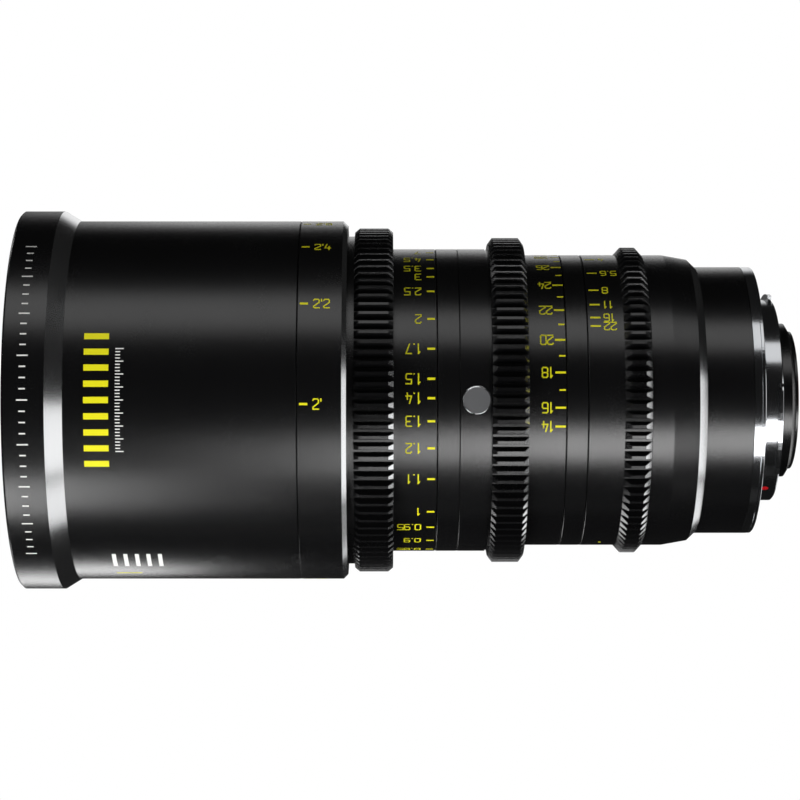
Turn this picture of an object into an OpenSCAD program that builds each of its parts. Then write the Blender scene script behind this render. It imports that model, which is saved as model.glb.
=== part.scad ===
// Cinema zoom lens with three geared control rings and a bayonet mount.
// The optical axis is X. The front looks along -X and the mount is at +X.
// The origin is the centre of the seating plane of the mount flange, and +Z is up.
// Angles round the axis start at the -Y side and grow over the top (+Z).
// Lengths are in millimetres and angles in degrees.
// Every control ring stands at its end stop: focus at infinity, zoom at its long end, iris open.

/* [Rings along the axis, from the mount forward] */
// Thickness of the mount flange
flange_w = 2.7; // [2.2:0.1:4]
// Width of the mount barrel
mount_barrel_w = 11.4; // [10.5:0.1:14]
// Width of the steep bevel at the back of the rear housing
rear_bevel_w = 2.0; // [1:0.1:3]
// Width of the slight taper of the rear housing
rear_taper_w = 6.2; // [4:0.1:8]
// Width of the straight band of the rear housing
rear_band_w = 5.2; // [4:0.1:8]
// Width of the iris gear
iris_gear_w = 6.6; // [6:0.1:8]
// Width of the iris scale band
iris_scale_w = 8.85; // [8.6:0.05:10]
// Width of the fixed band with the zoom and iris index
index_band_w = 5.1; // [4.5:0.1:6]
// Width of the zoom scale band
zoom_scale_w = 9.15; // [9:0.05:11]
// Width of the zoom gear
zoom_gear_w = 8.7; // [8:0.1:10]
// Width of the fixed ring that carries the cap
cap_ring_w = 7.75; // [7.6:0.05:9]
// Width of the fixed ring with the focus index
focus_index_w = 5.35; // [4:0.05:7]
// Width of the metre scale band
metre_scale_w = 10.6; // [9:0.1:12]
// Width of the focus gear
focus_gear_w = 9.5; // [8:0.1:11]
// Width of the neck between the focus gear and the feet scale
focus_neck_w = 1.75; // [1:0.05:3]
// Width of the ring with the feet scale
feet_scale_w = 11.75; // [10:0.05:14]
// Width of the fixed front barrel
front_barrel_w = 55.2; // [54:0.1:60]
// Width of the cone between the front barrel and the bezel
front_cone_w = 4.0; // [3:0.1:6]
// Width of the front bezel
bezel_w = 10.2; // [9.5:0.1:13]

/* [Diameters, built up from the guide tube] */
// Outside of the guide tube, on which the control rings turn
tube_d = 66; // [62:0.5:74]
// Height of the zoom and iris bands and of the rear housing over the tube
rear_band_h = 3.5; // [3:0.1:4]
// Wall of the sleeve that carries the focus rings
sleeve_wall = 2.95; // [2.5:0.05:3.4]
// Height of the metre scale band over the sleeve
focus_band_h = 2.0; // [1.8:0.1:2.6]
// Height of the neck behind the feet scale over the metre band
focus_neck_h = 3.2; // [2:0.1:4]
// Height of the front barrel and the feet scale ring over the metre band
barrel_h = 7.0; // [6:0.1:8]
// Height of the bezel over the front barrel, for a 95 mm matte box
bezel_h = 2.5; // [1.5:0.1:4]
// Height of the mount barrel over the tube
mount_h = 0.5; // [0.3:0.1:1]
// Fall of the slight taper of the rear housing
rear_taper_h = 1.1; // [0.6:0.1:1.6]

/* [Drive gears] */
// Module of the three drive gears
gear_module = 0.8; // [0.8]
// Pressure angle of the teeth
pressure_angle = 20; // [18:0.5:22]
// Height of the focus gear over the metre band
focus_gear_h = 5.2; // [5:0.1:6]
// Height of the zoom gear over the zoom band
zoom_gear_h = 4.3; // [4:0.1:5]
// Height of the iris gear over the iris band
iris_gear_h = 1.9; // [1.9:0.1:2.6]
// Length of the chamfer at each end of the focus gear
focus_chamfer_w = 1.2; // [0.6:0.1:2]
// Depth of the chamfer at each end of the focus gear
focus_chamfer_h = 1.0; // [0.6:0.1:1.6]
// Length of the chamfer at each end of the zoom gear
zoom_chamfer_w = 1.1; // [0.6:0.1:2]
// Depth of the chamfer at each end of the zoom gear
zoom_chamfer_h = 1.5; // [0.6:0.1:1.7]
// Length of the chamfer at each end of the iris gear
iris_chamfer_w = 1.55; // [0.6:0.05:2]
// Depth of the chamfer at each end of the iris gear
iris_chamfer_h = 1.7; // [0.6:0.1:1.7]

/* [Travel] */
// Turn of the focus ring
focus_turn = 270; // [260:5:280]
// Turn of the zoom ring
zoom_turn = 100; // [90:1:105]
// Turn of the iris ring
iris_turn = 61; // [56:1:64]
// Axial travel of the focusing group
focus_travel = 10.8; // [10.4:0.1:12]
// Axial travel of the variator
variator_travel = 22; // [18:0.5:23]
// Axial travel of the compensator
compensator_travel = 8; // [6:0.5:8.5]

/* [Bayonet] */
// Width of the seating face between the pilot and the edge of the flange
flange_seat_h = 6.6; // [6.2:0.1:7.4]
// Height of the pilot above the flange
pilot_w = 1.1; // [0.8:0.1:1.6]
// Step from the pilot down to the neck of the bayonet
neck_h = 1.65; // [1.4:0.05:2]
// Step from the pilot down to the lugs
lug_gap = 0.2; // [0.1:0.05:0.4]
// Thickness of the lugs
lug_w = 1.2; // [1:0.1:1.8]
// Distance from the flange to the rear face of the bayonet
bayonet_h = 5.35; // [5:0.05:6]
// Angle that one lug covers
lug_arc = 48; // [40:1:60]
// Wall of the bayonet's neck
bayonet_wall = 2.75; // [2.4:0.05:3.2]

/* [Fits] */
// Radial running clearance of turning and sliding pieces
run_gap = 0.05; // [0.02:0.01:0.08]
// Axial gap between a turning ring and a fixed one
end_gap = 0.12; // [0.08:0.01:0.2]
// Side clearance of a follower pin in its slot, per side
slot_gap = 0.05; // [0.03:0.01:0.1]
// Side clearance of a follower pin in its cam slot, per side
cam_gap = 0.12; // [0.1:0.01:0.2]

/* [Tubes and pins] */
// Wall of the guide tube
tube_wall = 2.0; // [1.8:0.1:2.2]
// Wall of the zoom cam tube
cam_wall = 2.45; // [2.2:0.05:2.6]
// Wall of the front barrel
barrel_wall = 2.5; // [2.2:0.1:3]
// Diameter of the follower pins
follower_d = 2.6; // [2.2:0.1:2.8]
// Diameter of the zoom key
zoom_key_d = 2.4; // [2:0.1:2.5]
// Diameter of the iris key
iris_key_d = 1.4; // [1.2:0.1:1.5]

/* [Iris] */
// Number of iris blades
blade_count = 9; // [9]
// Distance from the bore of the guide tube in to the blade pivots
pivot_inset = 6; // [5.4:0.1:6.6]
// Distance from the pivots in to the curved part of a blade
blade_root_h = 3; // [2.6:0.1:3.4]
// Width of the curved part of a blade
blade_w = 7.5; // [6.5:0.1:8.5]
// Radius of the closed iris
iris_closed_r = 1.8; // [1.5:0.1:2.5]
// Distance from the pivot to the drive pin on a blade
pin_arm = 6.7; // [6.4:0.1:7]
// Thickness of a blade
blade_t = 0.15; // [0.1:0.01:0.18]
// Axial spacing of the blades
blade_pitch = 0.3; // [0.28:0.01:0.32]
// Diameter of the pivot and drive pins of a blade
blade_pin_d = 1.0; // [0.9:0.1:1.1]

/* [Hidden] */

fine = 128;
pin_fn = 24;

// Stations along the axis, each the front side of its ring
x_flange = -flange_w;
x_mount = x_flange - mount_barrel_w;
x_rear_bevel = x_mount - rear_bevel_w;
x_rear_taper = x_rear_bevel - rear_taper_w;
x_rear = x_rear_taper - rear_band_w;
x_iris_gear = x_rear - iris_gear_w;
x_iris_scale = x_iris_gear - iris_scale_w;
x_index_band = x_iris_scale - index_band_w;
x_zoom_scale = x_index_band - zoom_scale_w;
x_zoom_gear = x_zoom_scale - zoom_gear_w;
x_cap_ring = x_zoom_gear - cap_ring_w;
x_focus_index = x_cap_ring - focus_index_w;
x_metre = x_focus_index - metre_scale_w;
x_focus_gear = x_metre - focus_gear_w;
x_neck = x_focus_gear - focus_neck_w;
x_feet = x_neck - feet_scale_w;
x_barrel = x_feet - front_barrel_w;
x_cone = x_barrel - front_cone_w;
x_front = x_cone - bezel_w;

// Radii from the guide tube outward
tube_r = tube_d / 2;
ring_bore_r = tube_r + run_gap;
rear_band_r = tube_r + rear_band_h;
rear_taper_r = rear_band_r - rear_taper_h;
mount_r = tube_r + mount_h;
sleeve_r = ring_bore_r + sleeve_wall;
focus_band_r = sleeve_r + focus_band_h;
focus_neck_r = focus_band_r + focus_neck_h;
barrel_r = focus_band_r + barrel_h;
bezel_r = barrel_r + bezel_h;
barrel_bore_r = barrel_r - barrel_wall;

// Radii from the guide tube inward
tube_bore_r = tube_r - tube_wall;
cam_r = tube_bore_r - run_gap;
cam_bore_r = cam_r - cam_wall;

// Radii of the bayonet
pilot_r = mount_r - flange_seat_h;
bayonet_neck_r = pilot_r - neck_h;
lug_r = pilot_r - lug_gap;
bayonet_bore_r = bayonet_neck_r - bayonet_wall;

// Edges and small steps
rim_chamfer = 0.5;
seam_chamfer = 0.15;
feet_chamfer = 1.1;
flange_chamfer = 0.9;
neck_chamfer = 0.3;
cap_groove_h = 0.3;
cap_groove_w = 0.5;
cap_groove_inset = 0.2;
cap_d = 7.2;
cap_h = 1.6;
cap_chamfer = 0.45;
cap_inset = 4.0;

// Front group
filter_step_h = 0.5;
filter_bore_r = barrel_bore_r + filter_step_h;
filter_w = 5.5;
front_cell_inset = 8.6;
front_cell_w = 27;
front_seat_w = 6.5;
front_cell_h = 2.5;
front_element_r = barrel_bore_r - front_cell_h;
front_edge_w = 4;
front_bulge_h = 5;
front_hollow_h = 3;
retainer_w = 2;
retainer_h = 2;
retainer_relief_w = dome(front_element_r, front_bulge_h, front_element_r - retainer_h);
spanner_slot_w = 2.4;
spacer_w = 10;
spacer_h = 2.5;
spacer_r = front_element_r - spacer_h;
second_cell_h = 1.5;
second_element_r = spacer_r - second_cell_h;
second_edge_w = 5;
second_bulge_h = 2.6;
cell_lip_h = 2;

// Guide tube and what runs in it
tube_flange_w = 3;
tube_flange_gap = 2;
barrel_lip_w = 3;
barrel_lip_gap = 0.3;
follower_count = 3;
follower_step = 360 / follower_count;
follower_angle = 60;
follower_seat_h = 2.4;
focus_rest_gap = 6.4;
focus_rest_x = x_feet - focus_rest_gap;
focus_cell_w = 12;
variator_rest_gap = 3;
variator_rest_x = x_focus_index - variator_rest_gap;
variator_cell_w = 12;
compensator_rest_gap = 1.9;
compensator_rest_x = x_zoom_gear + compensator_rest_gap;
compensator_cell_w = 10;
cam_front_margin = 4.5;
cam_front_x = variator_rest_x - variator_travel - cam_front_margin;
cam_rear_margin = 1.55;
cam_rear_x = x_index_band + cam_rear_margin;
zoom_key_gap = 2.75;
zoom_key_x = x_index_band - zoom_key_gap;
zoom_key_angle = 150;
iris_key_angle = 150;
key_seat_h = 1.5;
key_rim_h = 1;
focus_slot_steps = 15;
slot_side_share = 0.97;
zoom_slot_steps = 10;
tool_gap = 1;

// Glass inside
focus_cell_h = 4.95;
focus_element_r = tube_bore_r - run_gap - focus_cell_h;
variator_cell_h = 6.45;
variator_element_r = cam_bore_r - run_gap - variator_cell_h;
compensator_cell_h = 8.45;
compensator_element_r = cam_bore_r - run_gap - compensator_cell_h;
inner_edge_w = 3;
inner_bulge_h = 2.2;
relay_edge_w = 4;
relay_bulge_h = 1.4;
rear_bulge_h = 1.6;
rear_back_bulge_h = 1.2;
element_lip_h = 1.5;

// Iris
iris_plate_w = 1.4;
iris_plate_gap = 1.5;
iris_plate_x = x_iris_gear + iris_plate_gap;
pivot_circle_r = tube_bore_r - pivot_inset;
blade_outer_r = pivot_circle_r - blade_root_h;
iris_open_r = blade_outer_r - blade_w;
iris_plate_h = 0.7;
iris_plate_bore_r = iris_open_r + iris_plate_h;
blade_room_gap = 0.35;
blade_first_x = iris_plate_x - blade_room_gap - blade_count * blade_pitch + blade_pitch - blade_t;
drive_ring_w = 2.3;
drive_ring_gap = 0.3;
drive_ring_x = blade_first_x - drive_ring_gap - drive_ring_w;
iris_key_x = drive_ring_x + drive_ring_w / 2;
snap_ring_w = 1;
snap_ring_h = 1.8;
blade_step = 360 / blade_count;
blade_swing = 2 * asin((iris_open_r - iris_closed_r) / (2 * pivot_circle_r));
blade_pin_r = blade_pin_d / 2;
blade_sweep_angle = 112;
blade_root_angle = 8;
blade_arc_steps = 14;
blade_ear_r = 1.3;
blade_arm_w = 2.4;
iris_slot_steps = 14;

// Rear
relay_front_x = iris_plate_x + iris_plate_w;
relay_shoulder_w = 15;
mount_lip_w = 5.5;
mount_lip_h = 0.6;
mount_lip_r = pilot_r + mount_lip_h;
relay_tail_gap = 1.5;
relay_tail_r = mount_lip_r - relay_tail_gap;
relay_cell_h = 9;
relay_element_r = relay_tail_r - relay_cell_h;
spigot_w = 2;
relay_rear_x = x_flange - spigot_w;
screw_count = 4;
screw_inset = 3.1;
screw_circle_r = mount_r - screw_inset;
screw_d = 2;
screw_head_d = 3.8;
screw_head_w = 1.0;
screw_length = 6;
screw_angle = 45;
screw_recess_w = 0.5;
screw_recess_l = 2.2;
screw_recess_h = 0.6;
lug_count = 3;
lug_seat_h = 1;
lug_angle = -43;
dot_d = 1.8;
lug_x = bayonet_h - lug_w;
dot_gap = 1.75;
dot_x = lug_x - dot_gap;
dot_angle = -60;
dot_h = 0.6;
stop_angle_step = 3;
stop_angle = lug_angle + lug_arc + stop_angle_step;
stop_x = lug_x + lug_w / 2;
stop_d = 1.1;
stop_h = 0.5;
stop_seat_h = 1.2;
baffle_gap = 3.2;
baffle_r = bayonet_bore_r - baffle_gap;
baffle_cone_h = 2.0;
baffle_mouth_r = baffle_r - baffle_cone_h;
baffle_wall = 0.7;
baffle_bore_r = baffle_mouth_r - baffle_wall;
baffle_lip_h = 0.8;
baffle_throat_r = baffle_bore_r - baffle_lip_h;
baffle_straight_w = 3.05;
baffle_cone_x = bayonet_h + baffle_straight_w;
baffle_cone_w = 1.2;
baffle_mouth_x = baffle_cone_x + baffle_cone_w;
baffle_rim_w = 0.6;
baffle_end_x = baffle_mouth_x + baffle_rim_w;
baffle_plate_x = 0.4;
baffle_plate_w = 1.8;

// Lays a shape built round Z along the optical axis
module along_axis() rotate([0, 90, 0]) children();

// Body of revolution round the optical axis, its profile in [radius, x] pairs
module turned(profile) along_axis() rotate_extrude($fn = fine) polygon(profile);

// Plain tube between two stations
module tube(bore, radius, x0, x1)
    turned([[bore, x0], [radius, x0], [radius, x1], [bore, x1]]);

// Band with a small chamfer at its front and its rear edge
module band(bore, radius, x0, x1, front_chamfer, rear_chamfer)
    turned([
        [bore, x0], [radius - front_chamfer, x0], [radius, x0 + front_chamfer],
        [radius, x1 - rear_chamfer], [radius - rear_chamfer, x1], [bore, x1]
    ]);

// Turns a piece built on the -Y side to its place round the axis
module at_angle(angle) rotate([-angle, 0, 0]) children();

// Stands a shape built up Z on the -Y side, at a station along the axis
module radial(x) translate([x, 0, 0]) rotate([90, 0, 0]) children();

// Round pin that points at the axis
module radial_pin(x, angle, r0, r1, d)
    at_angle(angle) radial(x) translate([0, 0, r0]) cylinder(d = d, h = r1 - r0, $fn = pin_fn);

// Cutter for a slot along the axis between two pin places
module straight_slot(x0, x1, angle, r0, r1, w) {
    radial_pin(x0, angle, r0, r1, w);
    radial_pin(x1, angle, r0, r1, w);
    at_angle(angle) radial(min(x0, x1)) translate([0, -w / 2, r0]) cube([abs(x1 - x0), w, r1 - r0]);
}

// Cutter for a helical slot, milled in short straight runs
module helical_slot(x0, x1, t0, t1, r0, r1, w, steps) {
    dx = (x1 - x0) / steps;
    dt = (t1 - t0) / steps;
    arc = dt * PI / 180 * (r0 + r1) / 2;
    run = sqrt(dx * dx + arc * arc);
    lean = atan2(arc, dx);
    side = w * slot_side_share;
    for (i = [0:steps])
        radial_pin(x0 + i * dx, t0 + i * dt, r0, r1, w);
    for (i = [0:steps - 1])
        at_angle(t0 + (i + 0.5) * dt) radial(x0 + (i + 0.5) * dx) translate([0, 0, r0])
            rotate([0, 0, lean]) translate([-run / 2, -side / 2, 0])
                cube([run, side, r1 - r0]);
}

// Corner points of a sector that reaches past a tube's wall
function sector_points(r0, r1, a0, a1, steps = 12) = concat(
    [for (i = [0:steps]) let (a = a0 + (a1 - a0) * i / steps) [r1 * cos(a), r1 * sin(a)]],
    [for (i = [steps:-1:0]) let (a = a0 + (a1 - a0) * i / steps) [r0 * cos(a), r0 * sin(a)]]
);

// Cutter or lug that covers an arc, between two angles and two stations
module arc_block(r0, r1, t0, t1, x0, x1)
    translate([x0, 0, 0]) along_axis() linear_extrude(x1 - x0)
        polygon(sector_points(r0, r1, -90 - t1, -90 - t0));

// Height of a spherical face at a distance from its centre, over its rim
function dome(r, sag, rho) =
    let (sphere_r = (r * r + sag * sag) / (2 * abs(sag)))
    sign(sag) * (sqrt(sphere_r * sphere_r - rho * rho) - (sphere_r - abs(sag)));

// Glass element. A positive bulge makes that face swell towards the front.
module glass(r, x0, x1, front_sag, rear_sag, steps = 8)
    turned(concat(
        [for (i = [0:steps]) let (rho = r * i / steps) [rho, x0 - dome(r, front_sag, rho)]],
        [for (i = [steps:-1:0]) let (rho = r * i / steps) [rho, x1 - dome(r, rear_sag, rho)]]
    ));

// Teeth of a gear from the radius of its tips
function teeth_at(tip) = round(2 * tip / gear_module) - 2;
focus_teeth = teeth_at(focus_band_r + focus_gear_h);
zoom_teeth = teeth_at(rear_band_r + zoom_gear_h);
iris_teeth = teeth_at(rear_band_r + iris_gear_h);

// Share of the tooth pitch that half a tooth takes, a number of modules above the pitch circle
half_pitch_share = 0.25;
function half_tooth(height) = half_pitch_share - height * tan(pressure_angle) / PI;
root_depth_share = 1.25;
function tip_r(teeth) = (teeth / 2 + 1) * gear_module;
function root_r(teeth) = (teeth / 2 - root_depth_share) * gear_module;
function tooth_points(teeth) = [
    for (i = [0:teeth - 1])
        for (corner = [
            [root_r(teeth), -half_tooth(-root_depth_share)],
            [tip_r(teeth), -half_tooth(1)],
            [tip_r(teeth), half_tooth(1)],
            [root_r(teeth), half_tooth(-root_depth_share)]
        ])
            let (a = (i + corner[1]) * 360 / teeth) [corner[0] * cos(a), corner[0] * sin(a)]
];

// Toothed ring with chamfered tooth ends
module gear_ring(teeth, x, w, bore, chamfer_w, chamfer_h) {
    tip = tip_r(teeth);
    translate([x, 0, 0]) along_axis() difference() {
        intersection() {
            linear_extrude(w) polygon(tooth_points(teeth));
            rotate_extrude($fn = fine) polygon([
                [0, 0], [tip - chamfer_h, 0], [tip, chamfer_w],
                [tip, w - chamfer_w], [tip - chamfer_h, w], [0, w]
            ]);
        }
        translate([0, 0, -tool_gap])
            cylinder(r = bore, h = w + 2 * tool_gap, $fn = fine);
    }
}

// Three follower pins of a sliding group
module followers(x, r0, r1)
    for (k = [0:follower_count - 1])
        radial_pin(x, follower_angle + k * follower_step, r0, r1, follower_d);

// Seats of the follower pins in a cell
module follower_seats(x, r0, r1)
    for (k = [0:follower_count - 1])
        radial_pin(x, follower_angle + k * follower_step, r0, r1 + tool_gap, follower_d);

// Straight slots that keep a sliding group from turning
module guide_slots(x0, x1)
    for (k = [0:follower_count - 1])
        straight_slot(x0, x1, follower_angle + k * follower_step, tube_bore_r - tool_gap,
            tube_r + tool_gap, follower_d + 2 * slot_gap);

// Helical slots that push a sliding group along
module cam_slots(x0, x1, turn, r0, r1, steps)
    for (k = [0:follower_count - 1])
        helical_slot(x0, x1, follower_angle + k * follower_step,
            follower_angle + k * follower_step - turn, r0 - tool_gap,
            r1 + tool_gap, follower_d + 2 * cam_gap, steps);

// Sliding cell for one element, with seats for its followers. Its lip clears the glass.
module sliding_cell(x, w, r, element_r, rear_bulge) {
    lip_r = element_r - element_lip_h;
    relief_w = rear_bulge > 0 ? dome(element_r, rear_bulge, lip_r) : 0;
    difference() {
        turned([
            [element_r, x - w / 2], [r, x - w / 2], [r, x + w / 2], [lip_r, x + w / 2],
            [lip_r, x + inner_edge_w / 2 + relief_w], [element_r, x + inner_edge_w / 2]
        ]);
        follower_seats(x, r - follower_seat_h, r);
    }
}

// Front bezel with the filter bore
module front_bezel()
    color("#1b1b1c") turned([
        [filter_bore_r, x_front], [bezel_r - rim_chamfer, x_front],
        [bezel_r, x_front + rim_chamfer], [bezel_r, x_cone],
        [barrel_r, x_barrel], [barrel_bore_r, x_barrel],
        [barrel_bore_r, x_front + filter_w], [filter_bore_r, x_front + filter_w]
    ]);

// Fixed front barrel with a lip at its back
module front_barrel() {
    lip_r = sleeve_r + barrel_lip_gap;
    color("#1b1b1c") turned([
        [barrel_bore_r, x_barrel], [barrel_r, x_barrel], [barrel_r, x_feet - seam_chamfer],
        [barrel_r - seam_chamfer, x_feet], [lip_r, x_feet], [lip_r, x_feet - barrel_lip_w],
        [barrel_bore_r, x_feet - barrel_lip_w]
    ]);
}

x_cell = x_front + front_cell_inset;
x_front_seat = x_cell + front_seat_w;
x_second_seat = x_front_seat + spacer_w;
x_cell_end = x_cell + front_cell_w;
second_relief_w = dome(second_element_r, second_bulge_h, second_element_r - cell_lip_h);

// Cell that holds the two front elements
module front_cell()
    color("#202021") turned([
        [front_element_r, x_cell], [barrel_bore_r, x_cell], [barrel_bore_r, x_cell_end],
        [second_element_r - cell_lip_h, x_cell_end],
        [second_element_r - cell_lip_h, x_second_seat + second_edge_w + second_relief_w],
        [second_element_r, x_second_seat + second_edge_w], [second_element_r, x_second_seat],
        [spacer_r, x_second_seat], [spacer_r, x_front_seat], [front_element_r, x_front_seat]
    ]);

// Ring with two spanner slots that holds the front element
module front_retaining_ring() {
    x = x_front_seat - front_edge_w - retainer_w;
    color("#202021") difference() {
        turned([
            [front_element_r - retainer_h, x], [front_element_r, x],
            [front_element_r, x + retainer_w],
            [front_element_r - retainer_h, x + retainer_w - retainer_relief_w]
        ]);
        translate([x - tool_gap, -front_element_r - tool_gap, -spanner_slot_w / 2])
            cube([tool_gap + retainer_w / 2,
                2 * (front_element_r + tool_gap), spanner_slot_w]);
    }
}

module front_element()
    color("#5d6f78") glass(front_element_r, x_front_seat - front_edge_w, x_front_seat,
        front_bulge_h, front_hollow_h);

module second_element()
    color("#5d6f78") glass(second_element_r, x_second_seat, x_second_seat + second_edge_w,
        second_bulge_h, -second_bulge_h);

// Guide tube, with its front flange, guide slots and the arc slots of the keys
module guide_tube() {
    x_flange_end = x_cell_end + tube_flange_gap + tube_flange_w;
    key_w = zoom_key_d + 2 * slot_gap;
    iris_key_w = iris_key_d + 2 * slot_gap;
    zoom_key_half = asin(key_w / 2 / tube_bore_r);
    iris_key_half = asin(iris_key_w / 2 / tube_bore_r);
    color("#8f9194") difference() {
        turned([
            [tube_bore_r, x_cell_end + tube_flange_gap],
            [barrel_bore_r, x_cell_end + tube_flange_gap], [barrel_bore_r, x_flange_end],
            [tube_r, x_flange_end], [tube_r, x_mount], [tube_bore_r, x_mount]
        ]);
        guide_slots(focus_rest_x, focus_rest_x - focus_travel);
        guide_slots(variator_rest_x, variator_rest_x - variator_travel);
        guide_slots(compensator_rest_x, compensator_rest_x + compensator_travel);
        arc_block(tube_bore_r - tool_gap, tube_r + tool_gap,
            zoom_key_angle - zoom_key_half, zoom_key_angle + zoom_turn + zoom_key_half,
            zoom_key_x - key_w / 2, zoom_key_x + key_w / 2);
        arc_block(tube_bore_r - tool_gap, tube_r + tool_gap,
            iris_key_angle - iris_key_half, iris_key_angle + iris_turn + iris_key_half,
            iris_key_x - iris_key_w / 2, iris_key_x + iris_key_w / 2);
    }
}

module focus_index_ring()
    color("#1b1b1c") band(tube_r, focus_band_r, x_focus_index, x_cap_ring, seam_chamfer,
        seam_chamfer);

// Fixed ring with a thin groove at its back and a pocket for the cap
module cap_ring() {
    r = focus_band_r;
    x_end = x_zoom_gear - end_gap;
    x_groove = x_end - cap_groove_inset - cap_groove_w;
    color("#1b1b1c") difference() {
        turned([
            [tube_r, x_cap_ring], [r - seam_chamfer, x_cap_ring], [r, x_cap_ring + seam_chamfer],
            [r, x_groove], [r - cap_groove_h, x_groove], [r - cap_groove_h, x_groove + cap_groove_w],
            [r, x_groove + cap_groove_w], [r, x_end], [tube_r, x_end]
        ]);
        radial(x_cap_ring + cap_inset) translate([0, 0, r - cap_h])
            cylinder(d = cap_d, h = cap_h + tool_gap, $fn = fine);
    }
}

// Round bright cap on the -Y side
module side_cap()
    color("#c9cbcd") radial(x_cap_ring + cap_inset) translate([0, 0, focus_band_r - cap_h]) {
        cylinder(d = cap_d, h = cap_h - cap_chamfer, $fn = fine);
        translate([0, 0, cap_h - cap_chamfer])
            cylinder(d1 = cap_d, d2 = cap_d - 2 * cap_chamfer, h = cap_chamfer, $fn = fine);
    }

module zoom_iris_index_ring()
    color("#1b1b1c") band(tube_r, rear_band_r, x_index_band, x_iris_scale, seam_chamfer,
        seam_chamfer);

// Place of a blade pin round its pivot, at a share of the iris travel
function pin_lean(share) = -90 - blade_swing / 2 + blade_swing * share;
function pin_place(share) = [
    pivot_circle_r + pin_arm * cos(pin_lean(share)), -pin_arm * sin(pin_lean(share))
];

// Fixed plate that holds the blade pivots
module iris_base_plate()
    color("#2a2a2b") difference() {
        tube(iris_plate_bore_r, tube_bore_r, iris_plate_x, iris_plate_x + iris_plate_w);
        for (k = [0:blade_count - 1])
            translate([iris_plate_x - tool_gap, 0, 0]) along_axis()
                rotate([0, 0, k * blade_step]) translate([pivot_circle_r, 0, 0])
                    cylinder(r = blade_pin_r + slot_gap, h = iris_plate_w + 2 * tool_gap,
                        $fn = pin_fn);
    }

// Ring that keeps the drive ring in place
module iris_snap_ring() {
    x = drive_ring_x - end_gap - snap_ring_w;
    color("#8f9194") tube(tube_bore_r - snap_ring_h, tube_bore_r, x, x + snap_ring_w);
}

// Rear housing: straight band, slight taper and steep bevel
module rear_housing()
    color("#1b1b1c") turned([
        [tube_r, x_rear], [rear_band_r, x_rear], [rear_band_r, x_rear_taper],
        [rear_taper_r, x_rear_bevel], [mount_r, x_mount], [tube_r, x_mount]
    ]);

// Centres of the mount screws
module on_screw_circle()
    for (k = [0:screw_count - 1])
        rotate([screw_angle + k * 360 / screw_count, 0, 0]) translate([0, -screw_circle_r, 0])
            along_axis() children();

// Barrel that carries the bayonet, with an inner lip for the screws
module mount_barrel()
    color("#1b1b1c") difference() {
        turned([
            [tube_bore_r, x_mount], [mount_r, x_mount], [mount_r, x_flange - seam_chamfer],
            [mount_r - seam_chamfer, x_flange], [mount_lip_r, x_flange],
            [mount_lip_r, x_flange - mount_lip_w], [tube_bore_r, x_flange - mount_lip_w]
        ]);
        on_screw_circle() translate([0, 0, -screw_length])
            cylinder(d = screw_d, h = screw_length, $fn = pin_fn);
    }

// Chromed bayonet: flange, spigot, pilot, neck and lugs
module bayonet_mount()
    color("#d4d6d8") difference() {
        union() {
            turned([
                [bayonet_bore_r, relay_rear_x], [mount_lip_r, relay_rear_x],
                [mount_lip_r, x_flange], [mount_r, x_flange], [mount_r, -flange_chamfer],
                [mount_r - flange_chamfer, 0], [pilot_r, 0], [pilot_r, pilot_w],
                [bayonet_neck_r, pilot_w], [bayonet_neck_r, bayonet_h - neck_chamfer],
                [bayonet_neck_r - neck_chamfer, bayonet_h], [bayonet_bore_r, bayonet_h]
            ]);
            for (k = [0:lug_count - 1])
                let (t = lug_angle + k * 360 / lug_count)
                arc_block(bayonet_neck_r - lug_seat_h, lug_r, t, t + lug_arc, lug_x,
                    bayonet_h - neck_chamfer);
        }
        on_screw_circle() {
            translate([0, 0, -screw_length]) cylinder(d = screw_d, h = screw_length, $fn = pin_fn);
            translate([0, 0, -screw_head_w])
                cylinder(d1 = screw_d, d2 = screw_head_d, h = screw_head_w, $fn = pin_fn);
        }
        radial_pin(dot_x, dot_angle, bayonet_neck_r - dot_h, lug_r, dot_d);
        radial_pin(stop_x, stop_angle, bayonet_neck_r - stop_seat_h, lug_r, stop_d);
    }

// Four countersunk screws with cross recesses
module mount_screws()
    color("#9a9c9f") on_screw_circle() difference() {
        union() {
            translate([0, 0, -screw_length]) cylinder(d = screw_d, h = screw_length, $fn = pin_fn);
            translate([0, 0, -screw_head_w])
                cylinder(d1 = screw_d, d2 = screw_head_d, h = screw_head_w, $fn = pin_fn);
        }
        for (a = [0, 90])
            rotate([0, 0, a]) translate([-screw_recess_l / 2, -screw_recess_w / 2, -screw_recess_h])
                cube([screw_recess_l, screw_recess_w, screw_recess_h + tool_gap]);
    }

// Red dot on the side of the bayonet
module mount_index_dot()
    color("#c8202a") radial_pin(dot_x, dot_angle, bayonet_neck_r - dot_h, bayonet_neck_r, dot_d);

// Pin that stops the turn of the bayonet at the end of a lug
module bayonet_stop_pin()
    color("#9a9c9f") radial_pin(stop_x, stop_angle, bayonet_neck_r - stop_seat_h,
        bayonet_neck_r + stop_h, stop_d);

// Light baffle behind the last element
module rear_baffle() {
    x_plate_end = baffle_plate_x + baffle_plate_w;
    color("#2f3031") turned([
        [baffle_bore_r, baffle_plate_x], [bayonet_bore_r, baffle_plate_x],
        [bayonet_bore_r, x_plate_end], [baffle_r, x_plate_end], [baffle_r, baffle_cone_x],
        [baffle_mouth_r, baffle_mouth_x], [baffle_mouth_r, baffle_end_x],
        [baffle_throat_r, baffle_end_x], [baffle_throat_r, baffle_mouth_x],
        [baffle_bore_r, baffle_mouth_x - baffle_rim_w]
    ]);
}

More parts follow.
